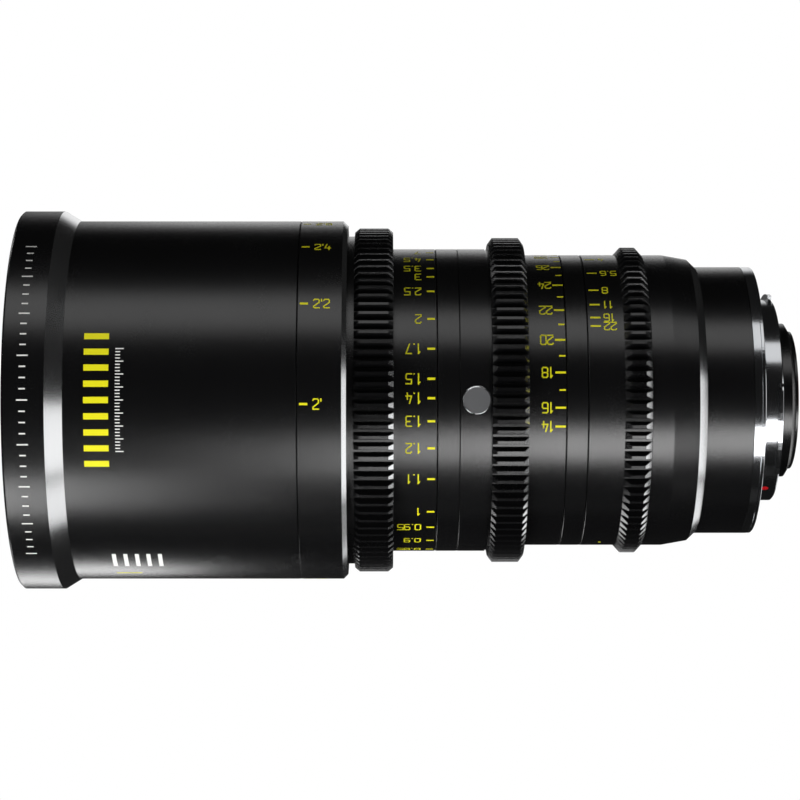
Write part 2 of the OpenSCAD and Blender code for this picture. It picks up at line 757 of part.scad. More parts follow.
// Fixed cell of the relay group
module relay_cell() {
    x_shoulder = relay_front_x + relay_shoulder_w;
    lip_r = relay_element_r - element_lip_h;
    front_relief_w = dome(relay_element_r, relay_bulge_h, lip_r);
    rear_relief_w = dome(relay_element_r, rear_bulge_h, lip_r);
    color("#202021") turned([
        [relay_element_r, relay_front_x], [tube_bore_r, relay_front_x],
        [tube_bore_r, x_shoulder], [relay_tail_r, x_shoulder], [relay_tail_r, relay_rear_x],
        [relay_element_r, relay_rear_x], [relay_element_r, relay_rear_x - relay_edge_w],
        [lip_r, relay_rear_x - relay_edge_w - rear_relief_w],
        [lip_r, relay_front_x + 2 * relay_edge_w + front_relief_w],
        [relay_element_r, relay_front_x + 2 * relay_edge_w]
    ]);
}

module relay_element()
    color("#5d6f78") glass(relay_element_r, relay_front_x + relay_edge_w,
        relay_front_x + 2 * relay_edge_w, relay_bulge_h, -relay_bulge_h);

module rear_element()
    color("#5d6f78") glass(relay_element_r, relay_rear_x - relay_edge_w, relay_rear_x, rear_bulge_h,
        -rear_back_bulge_h);

// Ring with the feet scale
module focus_feet_ring()
    color("#1b1b1c") band(sleeve_r, barrel_r, x_feet + end_gap, x_neck, seam_chamfer,
        feet_chamfer);

// Focus gear with its neck
module focus_gear_ring()
    color("#1b1b1c") {
        gear_ring(focus_teeth, x_focus_gear, focus_gear_w, sleeve_r, focus_chamfer_w,
            focus_chamfer_h);
        tube(sleeve_r, focus_neck_r, x_neck, x_focus_gear);
    }

module focus_metre_ring()
    color("#1b1b1c") band(sleeve_r, focus_band_r, x_metre, x_focus_index - end_gap, 0,
        seam_chamfer);

// Sleeve that the three focus rings are clamped on, with the focus cam slots
module focus_cam_sleeve() {
    x0 = x_cell_end + tube_flange_gap + tube_flange_w + end_gap;
    color("#8f9194") difference() {
        tube(ring_bore_r, sleeve_r, x0, x_focus_index - end_gap);
        cam_slots(focus_rest_x, focus_rest_x - focus_travel, focus_turn, ring_bore_r, sleeve_r,
            focus_slot_steps);
    }
}

module focus_cell()
    color("#202021") sliding_cell(focus_rest_x, focus_cell_w, tube_bore_r - run_gap,
        focus_element_r, inner_bulge_h);

module focus_element()
    color("#5d6f78") glass(focus_element_r, focus_rest_x - inner_edge_w / 2,
        focus_rest_x + inner_edge_w / 2, inner_bulge_h, -inner_bulge_h);

module focus_followers()
    color("#b08d4a") followers(focus_rest_x, tube_bore_r - run_gap - follower_seat_h, sleeve_r);

module zoom_gear_ring()
    color("#1b1b1c") gear_ring(zoom_teeth, x_zoom_gear, zoom_gear_w, ring_bore_r, zoom_chamfer_w,
        zoom_chamfer_h);

module zoom_scale_ring()
    color("#1b1b1c") difference() {
        band(ring_bore_r, rear_band_r, x_zoom_scale, x_index_band - end_gap, 0, seam_chamfer);
        radial_pin(zoom_key_x, zoom_key_angle, tube_r, rear_band_r - key_rim_h, zoom_key_d);
    }

// Cam tube with the slots of the variator and the compensator
module zoom_cam_tube()
    color("#a9abad") difference() {
        tube(cam_bore_r, cam_r, cam_front_x, cam_rear_x);
        cam_slots(variator_rest_x, variator_rest_x - variator_travel, zoom_turn, cam_bore_r,
            cam_r, zoom_slot_steps);
        cam_slots(compensator_rest_x, compensator_rest_x + compensator_travel, zoom_turn,
            cam_bore_r, cam_r, zoom_slot_steps);
        radial_pin(zoom_key_x, zoom_key_angle, cam_r - key_seat_h, tube_r, zoom_key_d);
    }

// Key that joins the zoom ring to the cam tube
module zoom_key()
    color("#b08d4a") radial_pin(zoom_key_x, zoom_key_angle, cam_r - key_seat_h,
        rear_band_r - key_rim_h, zoom_key_d);

module variator_cell()
    color("#202021") sliding_cell(variator_rest_x, variator_cell_w, cam_bore_r - run_gap,
        variator_element_r, 0);

module variator_element()
    color("#5d6f78") glass(variator_element_r, variator_rest_x - inner_edge_w / 2,
        variator_rest_x + inner_edge_w / 2, -inner_bulge_h / 2, inner_bulge_h / 2);

module variator_followers()
    color("#b08d4a") followers(variator_rest_x, cam_bore_r - run_gap - follower_seat_h, tube_r);

module compensator_cell()
    color("#202021") sliding_cell(compensator_rest_x, compensator_cell_w, cam_bore_r - run_gap,
        compensator_element_r, inner_bulge_h / 2);

module compensator_element()
    color("#5d6f78") glass(compensator_element_r, compensator_rest_x - inner_edge_w / 2,
        compensator_rest_x + inner_edge_w / 2, inner_bulge_h, -inner_bulge_h / 2);

module compensator_followers()
    color("#b08d4a") followers(compensator_rest_x, cam_bore_r - run_gap - follower_seat_h, tube_r);

module iris_scale_ring()
    color("#1b1b1c") difference() {
        band(ring_bore_r, rear_band_r, x_iris_scale + end_gap, x_iris_gear, seam_chamfer, 0);
        radial_pin(iris_key_x, iris_key_angle, tube_r, rear_band_r - key_rim_h, iris_key_d);
    }

module iris_gear_ring()
    color("#1b1b1c") gear_ring(iris_teeth, x_iris_gear, iris_gear_w - end_gap, ring_bore_r,
        iris_chamfer_w, iris_chamfer_h);

// Middle line of a drive slot in the drive ring, and its outline
function slot_mid(share) =
    let (p = pin_place(share), a = atan2(p[1], p[0]) + iris_turn * share)
    norm(p) * [cos(a), sin(a)];
function slot_side(share, side) =
    let (step = 0.01, d = slot_mid(share + step) - slot_mid(share - step))
    slot_mid(share) + side * (blade_pin_r + slot_gap) * [-d[1], d[0]] / norm(d);

// Drive ring: each spiral slot swings one blade
module iris_drive_ring()
    color("#8f9194") difference() {
        tube(iris_plate_bore_r, tube_bore_r - run_gap, drive_ring_x, drive_ring_x + drive_ring_w);
        for (k = [0:blade_count - 1])
            translate([drive_ring_x - tool_gap, 0, 0]) along_axis()
                rotate([0, 0, k * blade_step])
                    linear_extrude(drive_ring_w + 2 * tool_gap) {
                        polygon(concat(
                            [for (i = [0:iris_slot_steps]) slot_side(i / iris_slot_steps, 1)],
                            [for (i = [iris_slot_steps:-1:0]) slot_side(i / iris_slot_steps, -1)]
                        ));
                        for (share = [0, 1])
                            translate(slot_mid(share))
                                circle(r = blade_pin_r + slot_gap, $fn = pin_fn);
                    }
        radial_pin(iris_key_x, iris_key_angle, tube_bore_r - run_gap - key_seat_h, tube_r, iris_key_d);
    }

// Key that joins the iris ring to the drive ring
module iris_key()
    color("#b08d4a") radial_pin(iris_key_x, iris_key_angle, tube_bore_r - run_gap - key_seat_h,
        rear_band_r - key_rim_h, iris_key_d);

// Outline of the curved part of a blade, drawn for the open iris
function blade_crescent() = concat(
    [for (i = [0:blade_arc_steps])
        let (a = -blade_sweep_angle * i / blade_arc_steps) iris_open_r * [cos(a), sin(a)]],
    [for (i = [blade_arc_steps:-1:0])
        let (a = -blade_root_angle - (blade_sweep_angle - blade_root_angle) * i / blade_arc_steps)
        blade_outer_r * [cos(a), sin(a)]]
);

// One iris blade: crescent, arm, pivot pin to the rear and drive pin to the front
module iris_blade(index) {
    x = blade_first_x + index * blade_pitch;
    x_pin_end = drive_ring_x + drive_ring_gap;
    x_pivot_end = iris_plate_x + iris_plate_w;
    drive = pin_place(0);
    arm_lean = atan2(drive[1], drive[0] - pivot_circle_r);
    color("#3a3b3d") along_axis() rotate([0, 0, index * blade_step]) {
        translate([0, 0, x]) linear_extrude(blade_t) {
            polygon(blade_crescent());
            translate([pivot_circle_r, 0]) circle(r = blade_ear_r, $fn = pin_fn);
            translate(drive) circle(r = blade_ear_r, $fn = pin_fn);
            translate([pivot_circle_r, 0]) rotate(arm_lean)
                translate([0, -blade_arm_w / 2]) square([pin_arm, blade_arm_w]);
            polygon([
                [pivot_circle_r, blade_ear_r], [iris_open_r, 0],
                blade_outer_r * [cos(blade_root_angle), -sin(blade_root_angle)],
                [pivot_circle_r, -blade_ear_r]
            ]);
        }
        translate([pivot_circle_r, 0, x]) cylinder(r = blade_pin_r, h = x_pivot_end - x,
            $fn = pin_fn);
        translate([drive[0], drive[1], x_pin_end]) cylinder(r = blade_pin_r,
            h = x + blade_t - x_pin_end, $fn = pin_fn);
    }
}

front_bezel();
front_barrel();
front_cell();
front_retaining_ring();
front_element();
second_element();
guide_tube();
focus_index_ring();
cap_ring();
side_cap();
zoom_iris_index_ring();
iris_base_plate();
iris_snap_ring();
rear_housing();
mount_barrel();
bayonet_mount();
mount_screws();
mount_index_dot();
bayonet_stop_pin();
rear_baffle();
relay_cell();
relay_element();
rear_element();
focus_feet_ring();
focus_gear_ring();
focus_metre_ring();
focus_cam_sleeve();
focus_cell();
focus_element();
focus_followers();
zoom_gear_ring();
zoom_scale_ring();
zoom_cam_tube();
zoom_key();
variator_cell();
variator_element();
variator_followers();
compensator_cell();
compensator_element();
compensator_followers();
iris_scale_ring();
iris_gear_ring();
iris_drive_ring();
iris_key();
iris_blade(0);  // iris_blade_1
iris_blade(1);  // iris_blade_2
iris_blade(2);  // iris_blade_3
iris_blade(3);  // iris_blade_4
iris_blade(4);  // iris_blade_5
iris_blade(5);  // iris_blade_6
iris_blade(6);  // iris_blade_7
iris_blade(7);  // iris_blade_8
iris_blade(8);  // iris_blade_9
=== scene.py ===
"""Looks of a cinema zoom lens: anodised rings, printed scales, coated glass and a chromed bayonet.

All lengths are in millimetres in the classes and become metres where a mesh is made. The optical
axis is X, the front looks along -X, and angles round the axis start at -Y and grow over +Z.
"""

import logging
import math
from dataclasses import dataclass, field, replace
from enum import Enum

import bmesh
import bpy
import numpy as np
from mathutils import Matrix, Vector


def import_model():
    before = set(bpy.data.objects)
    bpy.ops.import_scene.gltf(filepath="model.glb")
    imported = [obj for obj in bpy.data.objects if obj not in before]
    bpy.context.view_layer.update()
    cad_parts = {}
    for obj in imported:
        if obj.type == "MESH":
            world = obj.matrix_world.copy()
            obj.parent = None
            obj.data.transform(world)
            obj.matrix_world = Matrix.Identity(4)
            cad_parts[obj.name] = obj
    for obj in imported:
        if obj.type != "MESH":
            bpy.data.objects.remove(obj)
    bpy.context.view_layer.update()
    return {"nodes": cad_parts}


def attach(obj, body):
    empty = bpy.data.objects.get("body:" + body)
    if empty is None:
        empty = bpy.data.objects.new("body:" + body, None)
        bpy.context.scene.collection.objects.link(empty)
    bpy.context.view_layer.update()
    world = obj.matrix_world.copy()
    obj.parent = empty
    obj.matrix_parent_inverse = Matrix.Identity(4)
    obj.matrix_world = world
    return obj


LOG = logging.getLogger("lens")
MM = 0.001
IMAGE_PX = 800
SENSOR_MM = 36.0
# Leans towards the mount where a cut bevel begins and is whole, seen from the cylinder
BEVEL_FROM_SIDE = (0.35, 0.45)
# The same two leans, seen from the flat end face
BEVEL_FROM_END = (0.92, 0.84)
# Change of the roughness on a cut bevel
BEVEL_POLISH = -0.06
# Share of the blasted relief that cutting takes off a bevel
BEVEL_CALM = 0.8
# The slow change of a finish is this many times as wide as its grain
CLOUD_GRAINS = 60
# What the sum of the grain and the slow change mostly spans
WANDER_SPAN = (0.6, 1.4)
# A polished face of a lens element leans more than this towards the optical axis
FACE_LEAN = 0.5
# A face that is less deep than this, in metres, counts as flat
FLAT = 1e-5
# Keeps a dot of no length from a division by nothing
TINY = 1e-9
# Gap between two digits, as a share of a digit's width
DIGIT_GAP = 0.28


class Ink(Enum):
    """Paint of a printed mark."""

    YELLOW = "#f6ef1c"
    WHITE = "#f2f2ee"

    @property
    def slot(self) -> str:
        """Gives the record's slot of the paint."""
        return f"{self.name.lower()}_enamel"


class Sense(Enum):
    """Which way a line of numbers reads on the barrel."""

    UPRIGHT = 1
    TURNED = -1


def linear(code: str) -> tuple[float, float, float, float]:
    """Turns an sRGB hex colour to linear light.

    Args:
        code: Colour such as "#1b1b1c".

    Returns:
        Red, green, blue and an alpha of 1, in linear light.
    """
    parts = [int(code[i : i + 2], 16) / 255 for i in (1, 3, 5)]
    lin = [c / 12.92 if c <= 0.04045 else ((c + 0.055) / 1.055) ** 2.4 for c in parts]
    return (lin[0], lin[1], lin[2], 1.0)


def add_node(
    tree: bpy.types.NodeTree,
    kind: str,
    settings: dict[str, object] | None = None,
    **inputs: object,
) -> bpy.types.Node:
    """Adds a node with its settings, values and links.

    Args:
        tree: Node tree that takes the node.
        kind: Blender's type name of the node.
        settings: Attributes of the node itself.
        **inputs: Value or output socket for each input, with _ for a space in its name, or
            with _ and the number of an input that shares its name with others.

    Returns:
        The new node.
    """
    node = tree.nodes.new(kind)
    for name, value in (settings or {}).items():
        setattr(node, name, value)
    for name, value in inputs.items():
        key = int(name[1:]) if name[1:].isdigit() else name.replace("_", " ")
        socket = node.inputs[key]
        if isinstance(value, bpy.types.NodeSocket):
            tree.links.new(value, socket)
        else:
            socket.default_value = value
    return node


@dataclass(frozen=True)
class Finish:
    """The colour, the gloss and the grain that a material and its making give a surface.

    Attributes:
        name: Plain name of the material.
        color: sRGB hex colour.
        metallic: Metallic value.
        roughness: Mean roughness.
        spread: How far the roughness wanders over the surface.
        grain_mm: Size of the grain.
        relief_mm: Height of the grain.
        turned: True where the grain is the rings that a lathe leaves.
        specular: Specular level of the shader.
        coat: Weight of a clear coat.
        bevel: sRGB hex colour of bevels that were cut bright after the finish, or nothing.
    """

    name: str
    color: str
    metallic: float = 0.0
    roughness: float = 0.4
    spread: float = 0.06
    grain_mm: float = 0.3
    relief_mm: float = 0.004
    turned: bool = False
    specular: float = 0.5
    coat: float = 0.0
    bevel: str = ""

    def cut_bevels(self, tree: bpy.types.NodeTree, shader: bpy.types.Node) -> None:
        """Makes the bevels that face the mount bare, bright and a little smoother.

        The lean is the part of the normal along the optical axis, which is 0 on a cylinder and
        1 on a rear end face; bevels lie between.

        Args:
            tree: The material's node tree.
            shader: The node whose colour, metallic value and roughness change on the bevels.
        """
        normal = add_node(tree, "ShaderNodeTexCoord").outputs["Normal"]
        lean = add_node(tree, "ShaderNodeSeparateXYZ", Vector=normal).outputs["X"]
        side, end = (
            add_node(tree, "ShaderNodeMapRange", Value=lean, From_Min=none, From_Max=whole)
            for none, whole in (BEVEL_FROM_SIDE, BEVEL_FROM_END)
        )
        bare = add_node(
            tree, "ShaderNodeMath", {"operation": "MULTIPLY"}, _0=side.outputs[0],
            _1=end.outputs[0],
        ).outputs[0]
        tint = add_node(
            tree, "ShaderNodeMix", {"data_type": "RGBA"}, _0=bare,
            _6=linear(self.color), _7=linear(self.bevel),
        )
        satin = shader.inputs["Roughness"].links[0].from_socket
        rough = add_node(
            tree, "ShaderNodeMath", {"operation": "MULTIPLY_ADD"}, _0=bare, _1=BEVEL_POLISH,
            _2=satin,
        )
        tree.links.new(tint.outputs[2], shader.inputs["Base Color"])
        tree.links.new(bare, shader.inputs["Metallic"])
        tree.links.new(rough.outputs[0], shader.inputs["Roughness"])
        relief = shader.inputs["Normal"].links[0].from_node
        calm = add_node(
            tree, "ShaderNodeMath", {"operation": "MULTIPLY_ADD"}, _0=bare, _1=-BEVEL_CALM, _2=1.0
        )
        tree.links.new(calm.outputs[0], relief.inputs["Strength"])

    def coordinates(self, tree: bpy.types.NodeTree) -> bpy.types.NodeSocket:
        """Gives the pattern's coordinates.

        A cast or blasted surface uses the place itself. A turned one uses the distance along
        the axis and the distance from it, so that the pattern runs round the axis.

        Args:
            tree: The material's node tree.

        Returns:
            The vector socket that the grain reads.
        """
        place = add_node(tree, "ShaderNodeTexCoord").outputs["Object"]
        if not self.turned:
            return place
        parts = add_node(tree, "ShaderNodeSeparateXYZ", Vector=place)
        flat = add_node(tree, "ShaderNodeCombineXYZ", Y=parts.outputs["Y"], Z=parts.outputs["Z"])
        radius = add_node(
            tree, "ShaderNodeVectorMath", {"operation": "LENGTH"}, _0=flat.outputs[0]
        )
        turned = add_node(
            tree, "ShaderNodeCombineXYZ", X=parts.outputs["X"], Y=radius.outputs["Value"]
        )
        return turned.outputs[0]

    def build(self) -> bpy.types.Material:
        """Makes the material: grain moves the roughness a little and raises a fine relief.

        Returns:
            The finished material.
        """
        material = bpy.data.materials.new(self.name)
        material.use_nodes = True
        tree = material.node_tree
        shader = tree.nodes["Principled BSDF"]
        place = self.coordinates(tree)
        scale = 1 / (self.grain_mm * MM)
        grain = add_node(
            tree, "ShaderNodeTexNoise", Vector=place, Scale=scale, Detail=3.0, Roughness=0.6
        )
        cloud = add_node(
            tree, "ShaderNodeTexNoise", Vector=place, Scale=scale / CLOUD_GRAINS, Detail=2.0
        )
        wander = add_node(
            tree, "ShaderNodeMath", {"operation": "ADD"}, _0=grain.outputs[0], _1=cloud.outputs[0]
        )
        rough = add_node(
            tree, "ShaderNodeMapRange", Value=wander.outputs[0],
            From_Min=WANDER_SPAN[0], From_Max=WANDER_SPAN[1],
            To_Min=self.roughness - self.spread, To_Max=self.roughness + self.spread,
        )
        relief = add_node(
            tree, "ShaderNodeBump", Height=grain.outputs[0], Distance=self.relief_mm * MM,
            Strength=1.0,
        )
        tree.links.new(rough.outputs[0], shader.inputs["Roughness"])
        tree.links.new(relief.outputs[0], shader.inputs["Normal"])
        shader.inputs["Base Color"].default_value = linear(self.color)
        shader.inputs["Metallic"].default_value = self.metallic
        shader.inputs["Specular IOR Level"].default_value = self.specular
        shader.inputs["Coat Weight"].default_value = self.coat
        if self.bevel:
            self.cut_bevels(tree, shader)
        return material


@dataclass(frozen=True)
class CoatedGlass:
    """Optical glass with a vapour-deposited coating that tints its reflections.

    The tint comes from the thickness of the coating, which differs a little from lens to lens.
    The polished faces are true spheres to the light, so that lamps show in them with clean edges.

    Attributes:
        node: Lens element that it is made for.
        film_nm: Thickness of the coating.
        ior: Index of the glass.
        film_ior: Index of the coating.
        haze_mm: Size of the patches in the polish.
        haze: Roughness of the dullest patch.
    """

    node: str
    film_nm: float
    ior: float = 1.62
    film_ior: float = 1.3
    haze_mm: float = 8.0
    haze: float = 0.012

    @property
    def name(self) -> str:
        """Gives the plain name of the material."""
        return f"coated_glass_{self.node}"

    @staticmethod
    def sphere(mesh: bpy.types.Mesh, side: int) -> tuple[float, float]:
        """Finds the sphere of one polished face.

        The squared distance of a point of the face from the origin is twice the centre times x
        plus a constant, so half the slope of a straight line fitted to it is the centre.

        Args:
            mesh: Mesh of the element.
            side: -1 for the front face, 1 for the rear face.

        Returns:
            Centre on the optical axis, and the sign that makes the way from it point outwards.
        """
        normals = np.empty(3 * len(mesh.loops), dtype=np.float32)
        mesh.corner_normals.foreach_get("vector", normals)
        index = np.empty(len(mesh.loops), dtype=np.int32)
        mesh.loops.foreach_get("vertex_index", index)
        points = np.empty(3 * len(mesh.vertices), dtype=np.float32)
        mesh.vertices.foreach_get("co", points)
        face = points.reshape(-1, 3)[index][side * normals.reshape(-1, 3)[:, 0] > FACE_LEAN]
        face = face.astype(np.float64)
        if np.ptp(face[:, 0]) < FLAT:
            return float(face[:, 0].mean()) - side, 1.0
        centre = np.polyfit(face[:, 0], (face**2).sum(axis=1), 1)[0] / 2
        return float(centre), float(side * np.sign(face[:, 0].mean() - centre))

    def normal(self, tree: bpy.types.NodeTree, mesh: bpy.types.Mesh) -> bpy.types.NodeSocket:
        """Makes the direction of the polished faces from their spheres.

        A point's direction is the way from the centre of its sphere to the point, at length 1.
        The edge of the element keeps its own direction.

        Args:
            tree: The material's node tree.
            mesh: Mesh of the element.

        Returns:
            Socket of the direction, turned to the side that the light comes from.
        """
        place = add_node(tree, "ShaderNodeTexCoord")
        inside = add_node(tree, "ShaderNodeNewGeometry").outputs["Backfacing"]
        turn = add_node(
            tree, "ShaderNodeMath", {"operation": "MULTIPLY_ADD"}, _0=inside, _1=-2.0, _2=1.0
        ).outputs[0]
        scale = {"operation": "SCALE"}
        out = add_node(
            tree, "ShaderNodeVectorMath", scale, _0=place.outputs["Normal"], Scale=turn
        ).outputs[0]
        along = add_node(tree, "ShaderNodeSeparateXYZ", Vector=out).outputs["X"]
        for side in (-1, 1):
            centre, sign = self.sphere(mesh, side)
            arm = add_node(
                tree, "ShaderNodeVectorMath", {"operation": "SUBTRACT"},
                _0=place.outputs["Object"], _1=(centre, 0.0, 0.0),
            )
            arm = add_node(tree, "ShaderNodeVectorMath", scale, _0=arm.outputs[0], Scale=sign)
            arm = add_node(
                tree, "ShaderNodeVectorMath", {"operation": "NORMALIZE"}, _0=arm.outputs[0]
            )
            lean = add_node(tree, "ShaderNodeMath", {"operation": "MULTIPLY"}, _0=along, _1=side)
            pick = add_node(
                tree, "ShaderNodeMath", {"operation": "GREATER_THAN"}, _0=lean.outputs[0],
                _1=FACE_LEAN,
            )
            out = add_node(
                tree, "ShaderNodeMix", {"data_type": "VECTOR"}, _0=pick.outputs[0], _4=out,
                _5=arm.outputs[0],
            ).outputs[1]
        out = add_node(tree, "ShaderNodeVectorMath", scale, _0=out, Scale=turn).outputs[0]
        return add_node(
            tree, "ShaderNodeVectorTransform",
            {"vector_type": "NORMAL", "convert_from": "OBJECT", "convert_to": "WORLD"}, Vector=out,
        ).outputs[0]

    def coat(self, tree: bpy.types.NodeTree, shader: bpy.types.Node) -> None:
        """Coats both sides of the faces alike.

        The shader counts the way of the light in the coating in the index of the side that the
        light is on. Seen from inside the glass the thickness is therefore multiplied by the index
        of the glass, so that the way stays the same.

        Args:
            tree: The material's node tree.
            shader: The node that takes the coating.
        """
        inside = add_node(tree, "ShaderNodeNewGeometry").outputs["Backfacing"]
        film = add_node(
            tree, "ShaderNodeMapRange", Value=inside, To_Min=self.film_nm,
            To_Max=self.film_nm * self.ior,
        )
        tree.links.new(film.outputs[0], shader.inputs["Thin Film Thickness"])
        shader.inputs["Thin Film IOR"].default_value = self.film_ior

    def build(self, mesh: bpy.types.Mesh) -> bpy.types.Material:
        """Makes the material: clear, polished and with a faint patchiness in its polish.

        Args:
            mesh: Mesh of the element.

        Returns:
            The finished material.
        """
        material = bpy.data.materials.new(self.name)
        material.use_nodes = True
        tree = material.node_tree
        shader = tree.nodes["Principled BSDF"]
        place = add_node(tree, "ShaderNodeTexCoord").outputs["Object"]
        patches = add_node(
            tree, "ShaderNodeTexNoise", Vector=place, Scale=1 / (self.haze_mm * MM), Detail=2.0
        )
        rough = add_node(
            tree, "ShaderNodeMapRange", Value=patches.outputs[0], To_Min=0.0, To_Max=self.haze
        )
        tree.links.new(rough.outputs[0], shader.inputs["Roughness"])
        tree.links.new(self.normal(tree, mesh), shader.inputs["Normal"])
        shader.inputs["Base Color"].default_value = linear("#fbfdff")
        shader.inputs["IOR"].default_value = self.ior
        shader.inputs["Transmission Weight"].default_value = 1.0
        self.coat(tree, shader)
        return material


# Blasted and anodised aluminium: deep black, satin, with a grain only just seen
ANODISED = Finish("black_anodised_aluminium", "#080809", roughness=0.26, spread=0.02,
                  grain_mm=0.22, relief_mm=0.02, specular=0.9)
# The same finish on rings whose bevels were cut bright after it
CUT_ANODISED = replace(ANODISED, name="bevelled_black_anodised", bevel="#e6e7e8")
# Matt anodised inside: no gloss, so that no light strays
MATT_BLACK = Finish("matt_black_anodised", "#0a0a0a", roughness=0.7, grain_mm=0.3, relief_mm=0.01,
                    specular=0.3)
# Tubes as they come off the lathe: pale metal with fine rings, drawn a little coarser to show
TURNED_ALUMINIUM = Finish("turned_aluminium", "#c9cacc", metallic=1.0, roughness=0.3,
                          grain_mm=0.12, relief_mm=0.003, turned=True)
# Cap of blasted and polished steel: soft grey face
SATIN_STEEL = Finish("satin_steel", "#8c8d8f", metallic=1.0, roughness=0.6, grain_mm=0.2,
                     relief_mm=0.002)
# Bevel of the cap: polished until it shows the lamps
POLISHED_STEEL = Finish("polished_steel", "#d4d5d7", metallic=1.0, roughness=0.16, spread=0.03,
                        grain_mm=0.2, relief_mm=0.001)
# Screws, pin and snap ring of turned steel: grey and half bright, with rings round the axis
TURNED_STEEL = Finish("turned_steel", "#a8a9ab", metallic=1.0, roughness=0.25, grain_mm=0.15,
                      relief_mm=0.002, turned=True)
# Hard chrome on brass: mirror bright with the faintest turning marks
CHROME = Finish("polished_chrome_on_brass", "#cbcdd0", metallic=1.0, roughness=0.15, spread=0.03,
                grain_mm=0.1, relief_mm=0.001, turned=True)
# Pins and keys of machined brass: warm yellow metal with a soft shine
BRASS = Finish("machined_brass", "#c79b4a", metallic=1.0, roughness=0.28, grain_mm=0.15,
               relief_mm=0.002, turned=True)
# Blackened spring steel of the iris blades: dark, slightly glossy
BLADE_STEEL = Finish("blackened_spring_steel", "#26272a", metallic=0.6, roughness=0.33,
                     grain_mm=0.25, relief_mm=0.001)
# Fired enamel in the index dot: clear red under a glossy skin
RED_ENAMEL = Finish("red_enamel", "#f21d27", roughness=0.25, grain_mm=0.3, relief_mm=0.002,
                    coat=0.6)
# Optical glass of the seven elements: clear, with dark violet to amber reflections
GLASSES = (
    CoatedGlass("front_element", 122), CoatedGlass("second_element", 108),
    CoatedGlass("focus_element", 126), CoatedGlass("variator_element", 112),
    CoatedGlass("compensator_element", 118), CoatedGlass("relay_element", 106),
    CoatedGlass("rear_element", 112),
)

NODE_FINISHES: dict[str, tuple[str, ...]] = {
    ANODISED.name: (
        "front_barrel", "focus_index_ring", "cap_ring", "zoom_iris_index_ring", "mount_barrel",
        "focus_metre_ring", "zoom_scale_ring", "iris_scale_ring", "rear_baffle",
    ),
    CUT_ANODISED.name: (
        "front_bezel", "focus_feet_ring", "focus_gear_ring", "zoom_gear_ring", "iris_gear_ring",
        "rear_housing",
    ),
    MATT_BLACK.name: (
        "front_cell", "front_retaining_ring", "iris_base_plate", "relay_cell",
        "focus_cell", "variator_cell", "compensator_cell",
    ),
    TURNED_ALUMINIUM.name: ("guide_tube", "focus_cam_sleeve", "zoom_cam_tube", "iris_drive_ring"),
    SATIN_STEEL.name: ("side_cap",),
    TURNED_STEEL.name: ("mount_screws", "bayonet_stop_pin", "iris_snap_ring"),
    CHROME.name: ("bayonet_mount",),
    BRASS.name: (
        "focus_followers", "variator_followers", "compensator_followers", "zoom_key", "iris_key",
    ),
    RED_ENAMEL.name: ("mount_index_dot",),
    BLADE_STEEL.name: tuple(f"iris_blade_{i}" for i in range(1, 10)),
}

# Strokes of the plain numerals, as shares of a cell's width and height, from its lower left;
# ~ stands for infinity
GLYPH_SHARES: dict[str, tuple[tuple[tuple[float, float], ...], ...]] = {
    "0": (((0.2, 0), (0.8, 0), (1, 0.12), (1, 0.88), (0.8, 1), (0.2, 1), (0, 0.88), (0, 0.12),
           (0.2, 0)),),
    "1": (((0.35, 0.82), (0.65, 1), (0.65, 0)),),
    "2": (((0, 0.88), (0.2, 1), (0.8, 1), (1, 0.88), (1, 0.62), (0, 0.18), (0, 0), (1, 0)),),
    "3": (((0, 1), (0.8, 1), (1, 0.88), (1, 0.62), (0.8, 0.52), (0.3, 0.52)),
          ((0.8, 0.52), (1, 0.4), (1, 0.12), (0.8, 0), (0, 0))),
    "4": (((0.35, 1), (0, 0.28), (1, 0.28)), ((0.75, 0.6), (0.75, 0))),
    "5": (((1, 1), (0, 1), (0, 0.56), (0.8, 0.56), (1, 0.44), (1, 0.12), (0.8, 0), (0, 0)),),
    "6": (((0.9, 1), (0.2, 1), (0, 0.88), (0, 0.12), (0.2, 0), (0.8, 0), (1, 0.12), (1, 0.44),
           (0.8, 0.56), (0, 0.56)),),
    "7": (((0, 1), (1, 1), (0.35, 0)),),
    "8": (((0.2, 0), (0.8, 0), (1, 0.12), (1, 0.4), (0.8, 0.52), (0.2, 0.52), (0, 0.4),
           (0, 0.12), (0.2, 0)),
          ((0.2, 0.52), (0, 0.64), (0, 0.88), (0.2, 1), (0.8, 1), (1, 0.88), (1, 0.64),
           (0.8, 0.52))),
    "9": (((0.1, 0), (0.8, 0), (1, 0.12), (1, 0.88), (0.8, 1), (0.2, 1), (0, 0.88), (0, 0.56),
           (0.2, 0.44), (1, 0.44)),),
    ".": (((0.45, 0), (0.55, 0)),),
    "'": (((0.5, 1), (0.5, 0.8)),),
    "~": (((0.5, 0.5), (0.3, 0.7), (0.1, 0.7), (0, 0.5), (0.1, 0.3), (0.3, 0.3), (0.5, 0.5),
           (0.7, 0.7), (0.9, 0.7), (1, 0.5), (0.9, 0.3), (0.7, 0.3), (0.5, 0.5)),),
}
# Widths of the signs that are not as wide as a digit, as shares of its width
ODD_WIDTHS = {".": 0.45, "'": 0.3, "1": 0.8, "~": 1.6}


def on_cylinder(x: np.ndarray, angle: np.ndarray, radius: np.ndarray) -> np.ndarray:
    """Places points on cylinders round the optical axis.

    A point is x along the axis, minus the radius times the cosine of its angle in Y, and the
    radius times the sine in Z.

    Args:
        x: Stations along the axis in millimetres.
        angle: Angles in radians.
        radius: Radii in millimetres.

    Returns:
        Points in metres, with one more dimension than the inputs.
    """
    x, angle, radius = np.broadcast_arrays(x, angle, radius)
    return np.stack([x, -radius * np.cos(angle), radius * np.sin(angle)], axis=-1) * MM


